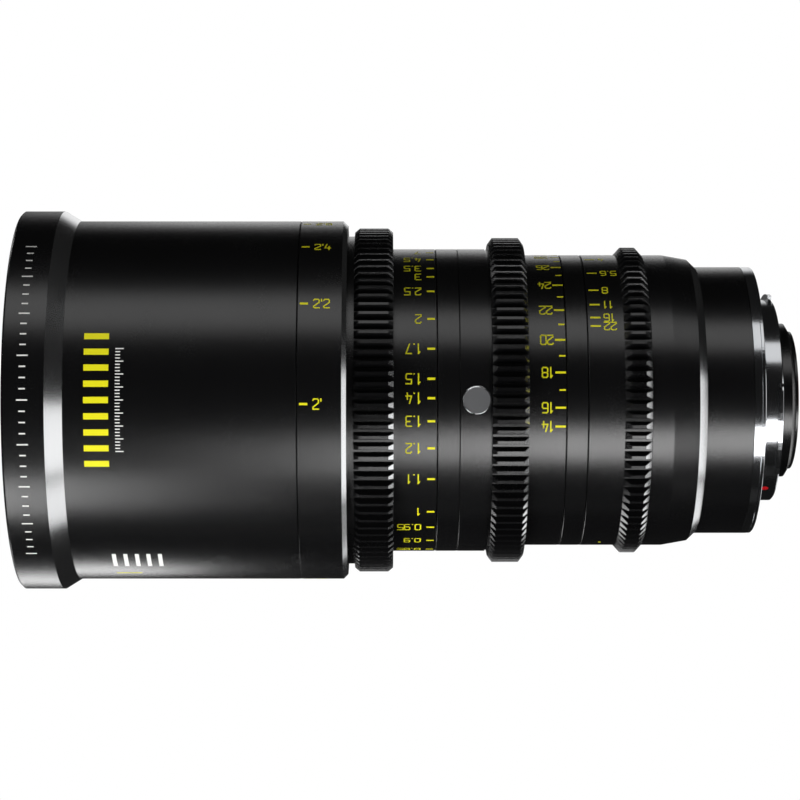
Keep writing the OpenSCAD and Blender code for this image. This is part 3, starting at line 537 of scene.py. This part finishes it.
def grid_faces(rows: int, columns: int, wrap_rows: bool, wrap_columns: bool) -> np.ndarray:
    """Lists the quads of a grid of points.

    Args:
        rows: Number of rows of points.
        columns: Number of points in a row.
        wrap_rows: True to join the last row to the first.
        wrap_columns: True to join the last column to the first.

    Returns:
        An array of four indices per quad.
    """
    i, j = np.meshgrid(
        np.arange(rows if wrap_rows else rows - 1),
        np.arange(columns if wrap_columns else columns - 1),
        indexing="ij",
    )
    i, j = i.ravel(), j.ravel()
    below, right = (i + 1) % rows, (j + 1) % columns
    return np.stack(
        [i * columns + j, i * columns + right, below * columns + right, below * columns + j], axis=1
    )


def make_piece(
    name: str,
    points: np.ndarray,
    faces: np.ndarray,
    material: bpy.types.Material,
    body: str,
    smooth: bool = False,
) -> bpy.types.Object:
    """Makes a mesh piece at the origin and lets it ride on a body.

    Args:
        name: Name of the piece.
        points: Points in metres, one row each.
        faces: Quads as rows of four indices.
        material: Finish of the piece.
        body: Body that it moves with.
        smooth: True for smooth shading.

    Returns:
        The new object.
    """
    mesh = bpy.data.meshes.new(name)
    mesh.from_pydata(points.reshape(-1, 3), [], faces.tolist())
    work = bmesh.new()
    work.from_mesh(mesh)
    bmesh.ops.recalc_face_normals(work, faces=work.faces)
    work.to_mesh(mesh)
    work.free()
    mesh.polygons.foreach_set("use_smooth", np.full(len(mesh.polygons), smooth))
    mesh.materials.append(material)
    piece = bpy.data.objects.new(name, mesh)
    bpy.context.scene.collection.objects.link(piece)
    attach(piece, body)
    LOG.info("piece %s rides on %s", name, body)
    return piece


@dataclass(frozen=True)
class Digits:
    """Height and width of a scale's digits and width of their strokes."""

    height: float
    width: float
    stroke: float


def numeral_strokes(
    text: str, x: float, digits: Digits, sense: Sense, align: float
) -> list[tuple[float, float, float, float]]:
    """Lays out a number as strokes on the unrolled barrel, centred on its mark.

    Args:
        text: Digits, with a point or a foot mark, or ~ for infinity.
        x: Station where the number starts or ends.
        digits: Size of the digits.
        sense: Upright, or turned by half a turn.
        align: 0 to start at x, 1 to end there, in the reading direction.

    Returns:
        Strokes as x and arc length of their start and end.
    """
    gap = digits.width * DIGIT_GAP
    widths = [digits.width * ODD_WIDTHS.get(char, 1.0) for char in text]
    total = sum(widths) + gap * (len(text) - 1)
    cursor = -align * total
    strokes = []
    for char, wide in zip(text, widths):
        for line in GLYPH_SHARES[char]:
            places = [
                (x + sense.value * (cursor + u * wide), sense.value * (v - 0.5) * digits.height)
                for u, v in line
            ]
            strokes += [(*a, *b) for a, b in zip(places, places[1:])]
        cursor += wide + gap
    return strokes


@dataclass
class Print:
    """Marks in one ink that lie on one cylinder and move with one body.

    Attributes:
        name: Name of the piece.
        body: Body that it rides on.
        radius: Radius of the cylinder.
        ink: Paint.
        rise: Height of the paint over the metal, and its depth in it.
        strokes: Strokes as start x, start arc, end x, end arc, mark angle and width.
    """

    name: str
    body: str
    radius: float
    ink: Ink
    rise: float = 0.03
    strokes: list[tuple[float, float, float, float, float, float]] = field(default_factory=list)

    def line(self, angle: float, x0: float, x1: float, width: float) -> None:
        """Adds a line along the axis at an angle in degrees."""
        self.strokes.append((x0, 0.0, x1, 0.0, angle, width))

    def number(
        self, angle: float, text: str, x: float, digits: Digits, sense: Sense,
        align: float = 0.0,
    ) -> None:
        """Adds a number beside its mark.

        Args:
            angle: Angle of the mark in degrees.
            text: The number.
            x: Station where it starts or ends.
            digits: Size of the digits.
            sense: Reading direction.
            align: 0 to start at x, 1 to end there.
        """
        for part in numeral_strokes(text, x, digits, sense, align):
            self.strokes.append((*part, angle, digits.stroke))

    def build(self, inks: dict[Ink, bpy.types.Material], steps: int = 3) -> bpy.types.Object:
        """Makes all the strokes as thin closed plates bent round the cylinder.

        Each stroke is a ribbon: its middle line runs from start to end with half a width added
        at each end, and its sides lie half a width off, square to it. The ribbon has a top at
        the radius plus the rise and a foot the same depth in the metal.

        Args:
            inks: The paints.
            steps: Short runs along a stroke, so that it follows the curve.

        Returns:
            The piece.
        """
        table = np.array(self.strokes)
        start, end = table[:, 0:2], table[:, 2:4]
        along = end - start
        length = np.linalg.norm(along, axis=1, keepdims=True)
        along = along / np.maximum(length, TINY)
        across = np.stack([-along[:, 1], along[:, 0]], axis=1)
        half = table[:, 5:6] / 2
        start, end = start - along * half, end + along * half
        t = np.linspace(0, 1, steps + 1)[None, :, None]
        middle = start[:, None, :] * (1 - t) + end[:, None, :] * t
        off = (across * half)[:, None, :]
        sides = np.stack([middle - off, middle + off], axis=2)
        angle = np.radians(table[:, 4])[:, None, None] + sides[..., 1] / self.radius
        foot = on_cylinder(sides[..., 0], angle, np.array(self.radius - self.rise))
        top = on_cylinder(sides[..., 0], angle, np.array(self.radius + self.rise))
        ring = np.stack([foot[:, :, 0], foot[:, :, 1], top[:, :, 1], top[:, :, 0]], axis=2)
        walls = grid_faces(steps + 1, 4, False, True)
        ends = np.array([[3, 2, 1, 0], [4 * steps + corner for corner in range(4)]])
        block = np.concatenate([walls, ends])
        shift = (np.arange(len(table)) * 4 * (steps + 1))[:, None, None]
        faces = (block[None] + shift).reshape(-1, 4)
        return make_piece(self.name, ring, faces, inks[self.ink], self.body)


@dataclass
class FocusScales:
    """Metre and feet scales of the focus ring, and their fixed index lines.

    Attributes:
        metre_radius: Radius of the ring under the metre scale.
        feet_radius: Radius of the ring under the feet scale.
        pace: Degrees from infinity, times the distance in metres less lens_offset.
        lens_offset: Distance that the law of the scale starts from.
        reach: Degrees that the ring turns.
        top: Angle of infinity on the metre scale, and of its index line.
        bottom: Angle of infinity on the feet scale, and of its index line.
        foot_m: Metres in a foot.
        digits: Size of the digits.
        tick: Width of a tick.
        metre_tick: Stations of a metre tick's ends.
        metre_text_x: Station where a metre number starts.
        metre_index: Stations of the metre index line's ends.
        feet_tick: Stations of a feet tick's ends.
        feet_text_x: Station where a feet number starts.
        feet_index: Stations of the feet index line's ends.
        index_width: Width of an index line.
        metre_marks: Numbers of the metre scale.
        feet_marks: Numbers of the feet scale and the distances in feet that they stand for.
    """

    metre_radius: float = 38.0
    feet_radius: float = 45.0
    pace: float = 105.0
    lens_offset: float = 0.225
    reach: float = 270.0
    top: float = 90.0
    bottom: float = -88.2
    foot_m: float = 0.3048
    digits: Digits = Digits(2.4, 1.3, 0.3)
    tick: float = 0.55
    metre_tick: tuple[float, float] = (-81.2, -79.9)
    metre_text_x: float = -82.95
    metre_index: tuple[float, float] = (-78.6, -74.4)
    feet_tick: tuple[float, float] = (-111.6, -110.2)
    feet_text_x: float = -108.6
    feet_index: tuple[float, float] = (-117.5, -113.2)
    index_width: float = 0.5
    metre_marks: tuple[str, ...] = (
        "0.6", "0.65", "0.7", "0.75", "0.8", "0.85", "0.9", "0.95", "1", "1.1", "1.2", "1.3", "1.4",
        "1.5", "1.7", "2", "2.5", "3", "3.5", "4.5", "7",
    )
    feet_marks: tuple[tuple[str, float], ...] = (
        ("2'", 2), ("2'2", 2.167), ("2'4", 2.333), ("2'6", 2.5), ("2'9", 2.75), ("3'", 3),
        ("3'6", 3.5), ("4'", 4), ("5'", 5), ("6'", 6), ("8'", 8), ("12'", 12), ("20'", 20),
    )

    def lag(self, metres: float) -> float:
        """Gives the angle in degrees between infinity and a distance."""
        return self.pace / (metres - self.lens_offset)

    def build(self, inks: dict[Ink, bpy.types.Material]) -> None:
        """Makes the metre scale, the feet scale and the index lines.

        Args:
            inks: The paints.
        """
        metres = Print("metre_scale", "focus_ring", self.metre_radius, Ink.YELLOW)
        marks = [(text, min(self.lag(float(text)), self.reach)) for text in self.metre_marks]
        for text, lag in (*marks, ("~", 0.0)):
            metres.line(self.top - lag, *self.metre_tick, self.tick)
            metres.number(self.top - lag, text, self.metre_text_x, self.digits, Sense.TURNED)
        metres.build(inks)
        feet = Print("feet_scale", "focus_ring", self.feet_radius, Ink.YELLOW)
        marks = [(text, self.lag(value * self.foot_m)) for text, value in self.feet_marks]
        for text, lag in (*marks, ("~", 0.0)):
            feet.line(self.bottom - lag, *self.feet_tick, self.tick)
            feet.number(self.bottom - lag, text, self.feet_text_x, self.digits, Sense.UPRIGHT)
        feet.build(inks)
        index = Print("focus_index", "barrel", self.metre_radius, Ink.WHITE)
        index.line(self.top, *self.metre_index, self.index_width)
        index.build(inks)
        low = Print("feet_index", "barrel", self.feet_radius, Ink.WHITE)
        low.line(self.bottom, *self.feet_index, self.index_width)
        low.build(inks)


@dataclass
class ZoomScale:
    """Zoom scale and its index line.

    Attributes:
        radius: Radius of the ring under the scale.
        digits: Size of the digits.
        tick: Width of a long tick.
        minor_tick: Width of a short tick.
        ticks: Stations of a long tick's ends.
        minor: Stations of a short tick's ends.
        text_x: Station where a number starts.
        index: Stations of the index line's ends.
        index_angle: Angle of the index line.
        index_width: Width of the index line.
        marks: Focal lengths and their angles.
    """

    radius: float = 36.5
    digits: Digits = Digits(2.4, 1.3, 0.31)
    tick: float = 0.5
    minor_tick: float = 0.4
    ticks: tuple[float, float] = (-50.6, -48.6)
    minor: tuple[float, float] = (-49.7, -48.6)
    text_x: float = -51.3
    index: tuple[float, float] = (-47.6, -43.4)
    index_angle: float = 90.0
    index_width: float = 0.45
    marks: tuple[tuple[int, float], ...] = (
        (30, 90), (28, 76.7), (26, 63.4), (24, 50), (22, 36.5), (20, 23.3), (18, 10.4),
        (16, -2.9), (14, -10),
    )

    def build(self, inks: dict[Ink, bpy.types.Material]) -> None:
        """Makes the numbers, the long ticks and the short ticks halfway between them.

        Args:
            inks: The paints.
        """
        scale = Print("zoom_scale", "zoom_ring", self.radius, Ink.YELLOW)
        for value, angle in self.marks:
            scale.line(angle, *self.ticks, self.tick)
            scale.number(angle, str(value), self.text_x, self.digits, Sense.TURNED)
        for (_, one), (_, other) in zip(self.marks[:-2], self.marks[1:-1]):
            scale.line((one + other) / 2, *self.minor, self.minor_tick)
        scale.build(inks)
        index = Print("zoom_index", "barrel", self.radius, Ink.WHITE)
        index.line(self.index_angle, *self.index, self.index_width)
        index.build(inks)


@dataclass
class IrisScale:
    """Iris scale on the band behind the index band.

    Attributes:
        radius: Radius of the ring under the scale.
        digits: Size of the digits.
        tick: Width of a tick.
        ticks: Stations of a tick's ends.
        text_x: Station where a number ends.
        marks: Stops and their angles.
        dot_angle: Angle of the small dot at the end of the range.
        dot_x: Stations of the dot's ends, before half its width is added.
        dot_width: Width of the dot.
    """

    radius: float = 36.5
    digits: Digits = Digits(2.1, 1.25, 0.26)
    tick: float = 0.45
    ticks: tuple[float, float] = (-41.9, -39.9)
    text_x: float = -38.8
    marks: tuple[tuple[str, float], ...] = (
        ("2.8", 90), ("4", 72.7), ("5.6", 58.4), ("8", 47), ("11", 39.2), ("16", 33), ("22", 29.2),
    )
    dot_angle: float = -75.8
    dot_x: tuple[float, float] = (-38.3, -38.2)
    dot_width: float = 0.4

    def build(self, inks: dict[Ink, bpy.types.Material]) -> None:
        """Makes the numbers, which end beside their ticks, and the dot.

        Args:
            inks: The paints.
        """
        scale = Print("iris_scale", "iris_ring", self.radius, Ink.YELLOW)
        for text, angle in self.marks:
            scale.line(angle, *self.ticks, self.tick)
            scale.number(angle, text, self.text_x, self.digits, Sense.TURNED, align=1.0)
        scale.line(self.dot_angle, *self.dot_x, self.dot_width)
        scale.build(inks)


@dataclass
class FrontPrint:
    """Plain dial on the bezel, and plain blocks, a ruler and bars on the front barrel.

    Attributes:
        bezel_radius: Radius of the bezel.
        barrel_radius: Radius of the front barrel.
        long_every: One tick in so many is long, on the dial and on the ruler.
        dial_x: Station of the middle of the dial's ticks.
        dial_half: Half the length of a long and of a short tick.
        dial_step: Degrees between two ticks.
        dial_count: Ticks on each side of the middle one.
        dial_width: Width of a tick.
        block_x: Stations of a block's ends.
        block_step: Degrees between two blocks.
        block_count: Blocks on each side of the middle one.
        block_width: Width of a block.
        fine_x: Stations of the ruler's foot, of its long ticks' ends and of its short ones'.
        fine_step: Degrees between two ticks of the ruler.
        fine_count: Ticks on each side of the middle one.
        fine_width: Width of a tick.
        low_x: Stations of the low bars.
        low_arc: Length of a low bar round the barrel.
        low_angle: Angle of the low bars' middles.
        low_width: Width of a low bar.
        line_x: Stations of the ends of the line beside them.
        line_angle: Angle of the line.
        line_width: Width of the line.
    """

    bezel_radius: float = 47.5
    barrel_radius: float = 45.0
    long_every: int = 4
    dial_x: float = -176.95
    dial_half: tuple[float, float] = (1.15, 0.6)
    dial_step: float = 3.2
    dial_count: int = 16
    dial_width: float = 0.34
    block_x: tuple[float, float] = (-162.05, -157.65)
    block_step: float = 4.9
    block_count: int = 4
    block_width: float = 1.5
    fine_x: tuple[float, float, float] = (-155.2, -153.5, -154.3)
    fine_step: float = 0.98
    fine_count: int = 16
    fine_width: float = 0.26
    low_x: tuple[float, ...] = (-157.6, -154.8, -152.0, -149.2, -146.4)
    low_arc: float = 5.6
    low_angle: float = -60.5
    low_width: float = 1.0
    line_x: tuple[float, float] = (-157.7, -151.8)
    line_angle: float = -71.6
    line_width: float = 0.35

    def build(self, inks: dict[Ink, bpy.types.Material]) -> None:
        """Makes the ring of ticks, the blocks, the fine ruler and the low marks.

        Args:
            inks: The paints.
        """
        ring = Print("bezel_dial", "barrel", self.bezel_radius, Ink.WHITE)
        for k in range(-self.dial_count, self.dial_count + 1):
            half = self.dial_half[0 if k % self.long_every == 0 else 1]
            ring.line(k * self.dial_step, self.dial_x - half, self.dial_x + half, self.dial_width)
        ring.build(inks)
        blocks = Print("barrel_blocks", "barrel", self.barrel_radius, Ink.YELLOW)
        for k in range(-self.block_count, self.block_count + 1):
            blocks.line(k * self.block_step, *self.block_x, self.block_width)
        blocks.line(self.line_angle, *self.line_x, self.line_width)
        blocks.build(inks)
        fine = Print("barrel_fine_ruler", "barrel", self.barrel_radius, Ink.WHITE)
        for k in range(-self.fine_count, self.fine_count + 1):
            end = self.fine_x[1 if k % self.long_every == 0 else 2]
            fine.line(k * self.fine_step, self.fine_x[0], end, self.fine_width)
        fine.build(inks)
        low = Print("barrel_low_marks", "barrel", self.barrel_radius, Ink.WHITE)
        half = self.low_arc / 2
        for x in self.low_x:
            low.strokes.append((x, -half, x, half, self.low_angle, self.low_width))
        low.build(inks)


@dataclass
class CapRim:
    """Polished bevel round the cap on the side of the lens.

    Attributes:
        cap_x: Station of the cap's middle.
        face: Distance of the cap's face from the optical axis.
        radius: Radius of the cap.
        bevel: Width and depth of the bevel.
        lift: How far the rim stands off the cap.
        steps: Points round the rim.
    """

    cap_x: float = -69.65
    face: float = 38.0
    radius: float = 3.6
    bevel: float = 0.45
    lift: float = 0.03
    steps: int = 96

    def build(self, material: bpy.types.Material) -> None:
        """Makes the rim: a slightly rounded bevel of five points, turned round the cap's axis.

        Args:
            material: Finish of the rim.
        """
        out = self.radius + self.lift
        inner = self.radius - self.bevel
        middle = (self.radius + inner) / 2 + self.lift
        ring = np.array([out, out, middle, inner, inner])
        rise = self.face + np.array([
            -self.bevel - self.lift, -self.bevel + self.lift, -self.bevel / 2 + 2 * self.lift,
            self.lift, -self.lift,
        ])
        turn = np.linspace(0, 2 * math.pi, self.steps, endpoint=False)[:, None]
        points = np.stack([
            self.cap_x + ring * np.cos(turn),
            np.broadcast_to(-rise, (self.steps, len(rise))),
            ring * np.sin(turn),
        ], axis=-1) * MM
        faces = grid_faces(self.steps, len(ring), True, True)
        make_piece("cap_rim", points, faces, material, "barrel", smooth=True)


@dataclass
class FilterThread:
    """Fine thread in the front bore, one ridge wound from the rim inwards.

    Attributes:
        bore: Radius of the bore.
        pitch: Distance between two turns.
        depth: Height of the ridge.
        start: Station of the first turn.
        end: Station of the last turn.
        foot: Half the width of the ridge's foot, as a share of the pitch.
        sink: How deep the foot lies in the wall.
        fades: The ridge grows and fades over one turn divided by this.
        thin: Size of the ridge at its very ends, as a share of the full one.
        steps: Points in one turn.
    """

    bore: float = 43.0
    pitch: float = 0.75
    depth: float = 0.4
    start: float = -181.3
    end: float = -176.9
    foot: float = 0.45
    sink: float = 0.05
    fades: float = 6.0
    thin: float = 0.02
    steps: int = 120

    def build(self, material: bpy.types.Material) -> None:
        """Makes the ridge: a three-sided profile carried along a helix in the bore.

        Args:
            material: Finish of the ridge.
        """
        turns = (self.end - self.start) / self.pitch
        count = int(turns * self.steps) + 1
        t = np.linspace(0, 1, count)[:, None]
        angle = t * turns * 2 * math.pi
        fade = np.clip(np.minimum(t, 1 - t) * turns * self.fades, self.thin, 1)
        across = np.array([-self.foot, 0.0, self.foot])[None] * self.pitch
        rise = np.array([-self.sink, self.depth, -self.sink])[None]
        x = self.start + t * (self.end - self.start) + across * fade
        points = on_cylinder(x, angle, self.bore - rise * fade)
        faces = grid_faces(count, 3, False, True)
        make_piece("filter_thread", points, faces, material, "barrel")


@dataclass
class BaffleRibs:
    """Fine ribs in the rear baffle that stop stray light.

    Attributes:
        bore: Radius of the baffle's bore.
        depth: Height of a rib.
        start: Station of the first groove.
        end: Station of the last groove.
        ribs: Number of ribs.
        gap: How far the ribs' foot and the grooves lie off the bore, outwards and inwards.
        steps: Points round the bore.
    """

    bore: float = 16.6
    depth: float = 0.5
    start: float = 0.6
    end: float = 8.8
    ribs: int = 10
    gap: float = 0.02
    steps: int = 96

    def build(self, material: bpy.types.Material) -> None:
        """Makes the ribs: a sawtooth profile turned round the axis, closed along the bore.

        Args:
            material: Finish of the ribs.
        """
        count = 2 * self.ribs + 1
        x = np.linspace(self.start, self.end, count)
        inner = self.bore - np.where(np.arange(count) % 2 == 1, self.depth, self.gap)
        x = np.concatenate([x, x[::-1]])
        radius = np.concatenate([inner, np.full(count, self.bore + self.gap)])
        angle = np.linspace(0, 2 * math.pi, self.steps, endpoint=False)
        points = on_cylinder(x[None], angle[:, None], radius[None])
        faces = grid_faces(self.steps, 2 * count, True, True)
        make_piece("baffle_ribs", points, faces, material, "barrel")


@dataclass
class FlangeStep:
    """Narrow polished step round the rear edge of the mount flange.

    Attributes:
        profile: Stations and radii of the profile's points.
        steps: Points round the flange.
    """

    profile: tuple[tuple[float, float], ...] = (
        (-0.86, 32.5), (-0.86, 33.2), (-0.74, 33.46), (-0.14, 33.46), (-0.02, 33.34), (-0.02, 32.5),
    )
    steps: int = 256

    def build(self, material: bpy.types.Material) -> None:
        """Makes the step: its profile of stations and radii is turned round the optical axis.

        Args:
            material: Finish of the step.
        """
        x, radius = np.array(self.profile).T
        angle = np.linspace(0, 2 * math.pi, self.steps, endpoint=False)[:, None]
        points = on_cylinder(x[None], angle, radius[None])
        faces = grid_faces(self.steps, len(x), True, True)
        make_piece("flange_step", points, faces, material, "barrel")


@dataclass(frozen=True)
class Softbox:
    """A studio lamp that faces the lens.

    Attributes:
        name: Name of the lamp.
        place: Its centre in metres.
        size: Its length and height in metres.
        radiance: Its brightness, where white paper is 1.
        axial: True to face the axis squarely, and not the middle of the lens.
        mirrored: Whether metal and glass show the box; a fill light only lights matt surfaces.
    """

    name: str
    place: tuple[float, float, float]
    size: tuple[float, float]
    radiance: float
    axial: bool = False
    mirrored: bool = True

    def build(self, centre: tuple[float, float, float]) -> None:
        """Makes the area lamp and turns it to the axis or the middle of the lens.

        Args:
            centre: Middle of the lens in metres.
        """
        lamp = bpy.data.lights.new(self.name, "AREA")
        lamp.shape = "RECTANGLE"
        lamp.size, lamp.size_y = self.size
        lamp.energy = self.radiance * math.pi * self.size[0] * self.size[1]
        holder = bpy.data.objects.new(self.name, lamp)
        holder.visible_glossy = self.mirrored
        holder.visible_transmission = self.mirrored
        bpy.context.scene.collection.objects.link(holder)
        target = Vector((self.place[0], 0.0, 0.0)) if self.axial else Vector(centre)
        aim = target - Vector(self.place)
        holder.location = self.place
        holder.rotation_euler = aim.to_track_quat("-Z", "Y").to_euler()
        holder.visible_camera = False


LAMPS = (
    # Three long boxes below the lens draw the bright bands on the rings
    Softbox("key_below", (0.045, -0.445, -0.306), (0.29, 0.23), 4.5, axial=True),
    Softbox("left_below", (-0.40, -0.27, -0.43), (0.36, 0.22), 5.2, axial=True),
    Softbox("left_behind", (-0.38, 0.345, -0.355), (0.40, 0.17), 3.8, axial=True),
    # One over the camera draws the faint upper band
    Softbox("top_front", (-0.14, -0.306, 0.437), (0.8, 0.24), 1.0, axial=True),
    # Four beyond the mount stand side by side, for the bright bevels and the chrome
    Softbox("right_front", (1.50, -0.80, -0.60), (1.2, 1.13), 1.1),
    Softbox("right_end", (1.78, 0.22, -0.345), (0.9, 1.41), 1.2),
    Softbox("right_low", (1.20, -0.20, -1.38), (0.74, 0.77), 1.05),
    Softbox("right_behind", (1.35, 1.30, -0.45), (1.1, 1.4), 1.0),
    # Two fill in the front end, and three narrow ones show in its glass
    Softbox("front_fill", (-1.30, -0.85, -0.72), (1.2, 1.2), 3.9, mirrored=False),
    Softbox("front_strip", (-1.25, -0.95, -0.12), (0.22, 1.1), 2.6),
    Softbox("front_window", (-1.50, -0.42, 0.62), (0.34, 0.44), 4.5),
    Softbox("back_fill", (-1.15, 1.45, 0.1), (1.3, 1.3), 3.2, mirrored=False),
    Softbox("back_strip", (-1.10, 1.20, 0.12), (0.22, 1.1), 2.6),
)


@dataclass
class Studio:
    """Camera, lamps, floor and white surroundings.

    Attributes:
        centre: Middle of the lens, which the camera looks at, in metres.
        distance: Distance of the camera from it in metres.
        focal_px: Focal length of the camera in pixels of the picture.
        middle_px: Column of the picture where the camera's own middle lies.
        floor_z: Height of the floor in metres.
        floor_half: Half the side of the floor in metres.
        floor_points: Points along a side of the floor.
        room: Brightness of the surroundings for all that doesn't show them as white.
        sheet: White sheet behind the lens, as mirrored in it: a part of the direction, and its
            values where the sheet begins and where it is full.
    """

    centre: tuple[float, float, float] = (-0.0913, 0.0, 0.0)
    distance: float = 0.680
    focal_px: float = 2693.85
    middle_px: float = 386.3
    floor_z: float = -4.5
    floor_half: float = 0.6
    floor_points: int = 9
    room: float = 0.01
    sheet: tuple[tuple[str, float, float], ...] = (
        ("Y", 0.70, 0.85), ("Z", 0.66, 0.46), ("Z", 0.0, 0.12), ("X", 0.2, 0.12),
        ("X", -0.16, -0.06),
    )

    def camera(self) -> None:
        """Puts the camera square to the axis, with the photograph's lens and shift."""
        data = bpy.data.cameras.new("photo_camera")
        data.sensor_width = SENSOR_MM
        data.lens = self.focal_px / IMAGE_PX * SENSOR_MM
        data.shift_x = (IMAGE_PX / 2 - self.middle_px) / IMAGE_PX
        data.dof.use_dof = False
        holder = bpy.data.objects.new("photo_camera", data)
        holder.location = (self.centre[0], self.centre[1] - self.distance, self.centre[2])
        holder.rotation_euler = (math.radians(90), 0, 0)
        bpy.context.scene.collection.objects.link(holder)
        bpy.context.scene.camera = holder

    def surroundings(self) -> None:
        """Makes the world: white to the camera and in the mirrored sheet, dim elsewhere."""
        world = bpy.data.worlds.new("studio")
        bpy.context.scene.world = world
        world.use_nodes = True
        tree = world.node_tree
        tree.nodes.clear()
        way = add_node(tree, "ShaderNodeTexCoord").outputs["Generated"]
        parts = add_node(tree, "ShaderNodeSeparateXYZ", Vector=way).outputs
        path = add_node(tree, "ShaderNodeLightPath").outputs
        shown = add_node(
            tree, "ShaderNodeMath", {"operation": "ADD"}, _0=path["Is Glossy Ray"],
            _1=path["Is Transmission Ray"],
        )
        for part, begins, full in self.sheet:
            mask = add_node(
                tree, "ShaderNodeMapRange", Value=parts[part], From_Min=begins, From_Max=full
            )
            shown = add_node(
                tree, "ShaderNodeMath", {"operation": "MULTIPLY"}, _0=shown.outputs[0],
                _1=mask.outputs[0],
            )
        white = add_node(
            tree, "ShaderNodeMath", {"operation": "ADD", "use_clamp": True},
            _0=path["Is Camera Ray"], _1=shown.outputs[0],
        )
        dim, paper = (
            add_node(tree, "ShaderNodeBackground", Strength=strength, Color=(1, 1, 1, 1))
            for strength in (self.room, 1.0)
        )
        mix = add_node(
            tree, "ShaderNodeMixShader", Fac=white.outputs[0], _1=dim.outputs[0],
            _2=paper.outputs[0],
        )
        add_node(tree, "ShaderNodeOutputWorld", Surface=mix.outputs[0])

    def floor(self) -> None:
        """Makes the pale floor far below the lens, white paper to the camera."""
        count = self.floor_points
        mesh = bpy.data.meshes.new("studio_floor")
        line = np.linspace(-self.floor_half, self.floor_half, count)
        x, y = np.meshgrid(line, line, indexing="ij")
        points = np.stack([x, y, np.full_like(x, self.floor_z)], axis=-1)
        faces = grid_faces(count, count, False, False)[:, ::-1]
        mesh.from_pydata(points.reshape(-1, 3), [], faces.tolist())
        material = bpy.data.materials.new("white_paper")
        material.use_nodes = True
        tree = material.node_tree
        shader = tree.nodes["Principled BSDF"]
        shader.inputs["Base Color"].default_value = linear("#f4f4f4")
        shader.inputs["Roughness"].default_value = 0.9
        path = add_node(tree, "ShaderNodeLightPath")
        paper = add_node(tree, "ShaderNodeEmission", Strength=1.0)
        mix = add_node(
            tree, "ShaderNodeMixShader", Fac=path.outputs["Is Camera Ray"],
            _1=shader.outputs[0], _2=paper.outputs[0],
        )
        tree.links.new(mix.outputs[0], tree.nodes["Material Output"].inputs["Surface"])
        mesh.materials.append(material)
        floor = bpy.data.objects.new("studio_floor", mesh)
        bpy.context.scene.collection.objects.link(floor)

    def build(self) -> None:
        """Makes the whole studio, with the plain view transform."""
        self.camera()
        for lamp in LAMPS:
            lamp.build(self.centre)
        self.surroundings()
        self.floor()
        bpy.context.scene.view_settings.view_transform = "Standard"


def paint(ink: Ink) -> bpy.types.Material:
    """Makes the paint of the marks: satin enamel in engraved lines, strong in colour, no glare."""
    return Finish(ink.slot, ink.value, roughness=0.45, grain_mm=0.2, relief_mm=0.002,
                  specular=0.35).build()


def dress_frame(frame: dict) -> dict[str, bpy.types.Material]:
    """Gives each construction node its finish.


    Returns:
        The materials by name.
    """
    finishes = (ANODISED, CUT_ANODISED, MATT_BLACK, TURNED_ALUMINIUM, SATIN_STEEL,
                POLISHED_STEEL, TURNED_STEEL, CHROME, BRASS, BLADE_STEEL, RED_ENAMEL)
    made = {finish.name: finish.build() for finish in finishes}
    for name, nodes in NODE_FINISHES.items():
        for node in nodes:
            for slot in frame["nodes"][node].material_slots:
                slot.material = made[name]
            LOG.info("node %s is %s", node, name)
    for glass in GLASSES:
        element = frame["nodes"][glass.node]
        material = glass.build(element.data)
        for slot in element.material_slots:
            slot.material = material
        LOG.info("node %s is %s", glass.node, glass.name)
    return made


def main() -> None:
    """Builds the studio, dresses the frame and adds the printed and threaded details."""
    logging.basicConfig(level=logging.INFO, format="%(name)s: %(message)s")
    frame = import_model()
    made = dress_frame(frame)
    inks = {ink: paint(ink) for ink in Ink}
    FocusScales().build(inks)
    ZoomScale().build(inks)
    IrisScale().build(inks)
    FrontPrint().build(inks)
    CapRim().build(made[POLISHED_STEEL.name])
    FilterThread().build(made[ANODISED.name])
    BaffleRibs().build(made[MATT_BLACK.name])
    FlangeStep().build(made[CHROME.name])
    Studio().build()


if __name__ == "__main__":
    main()
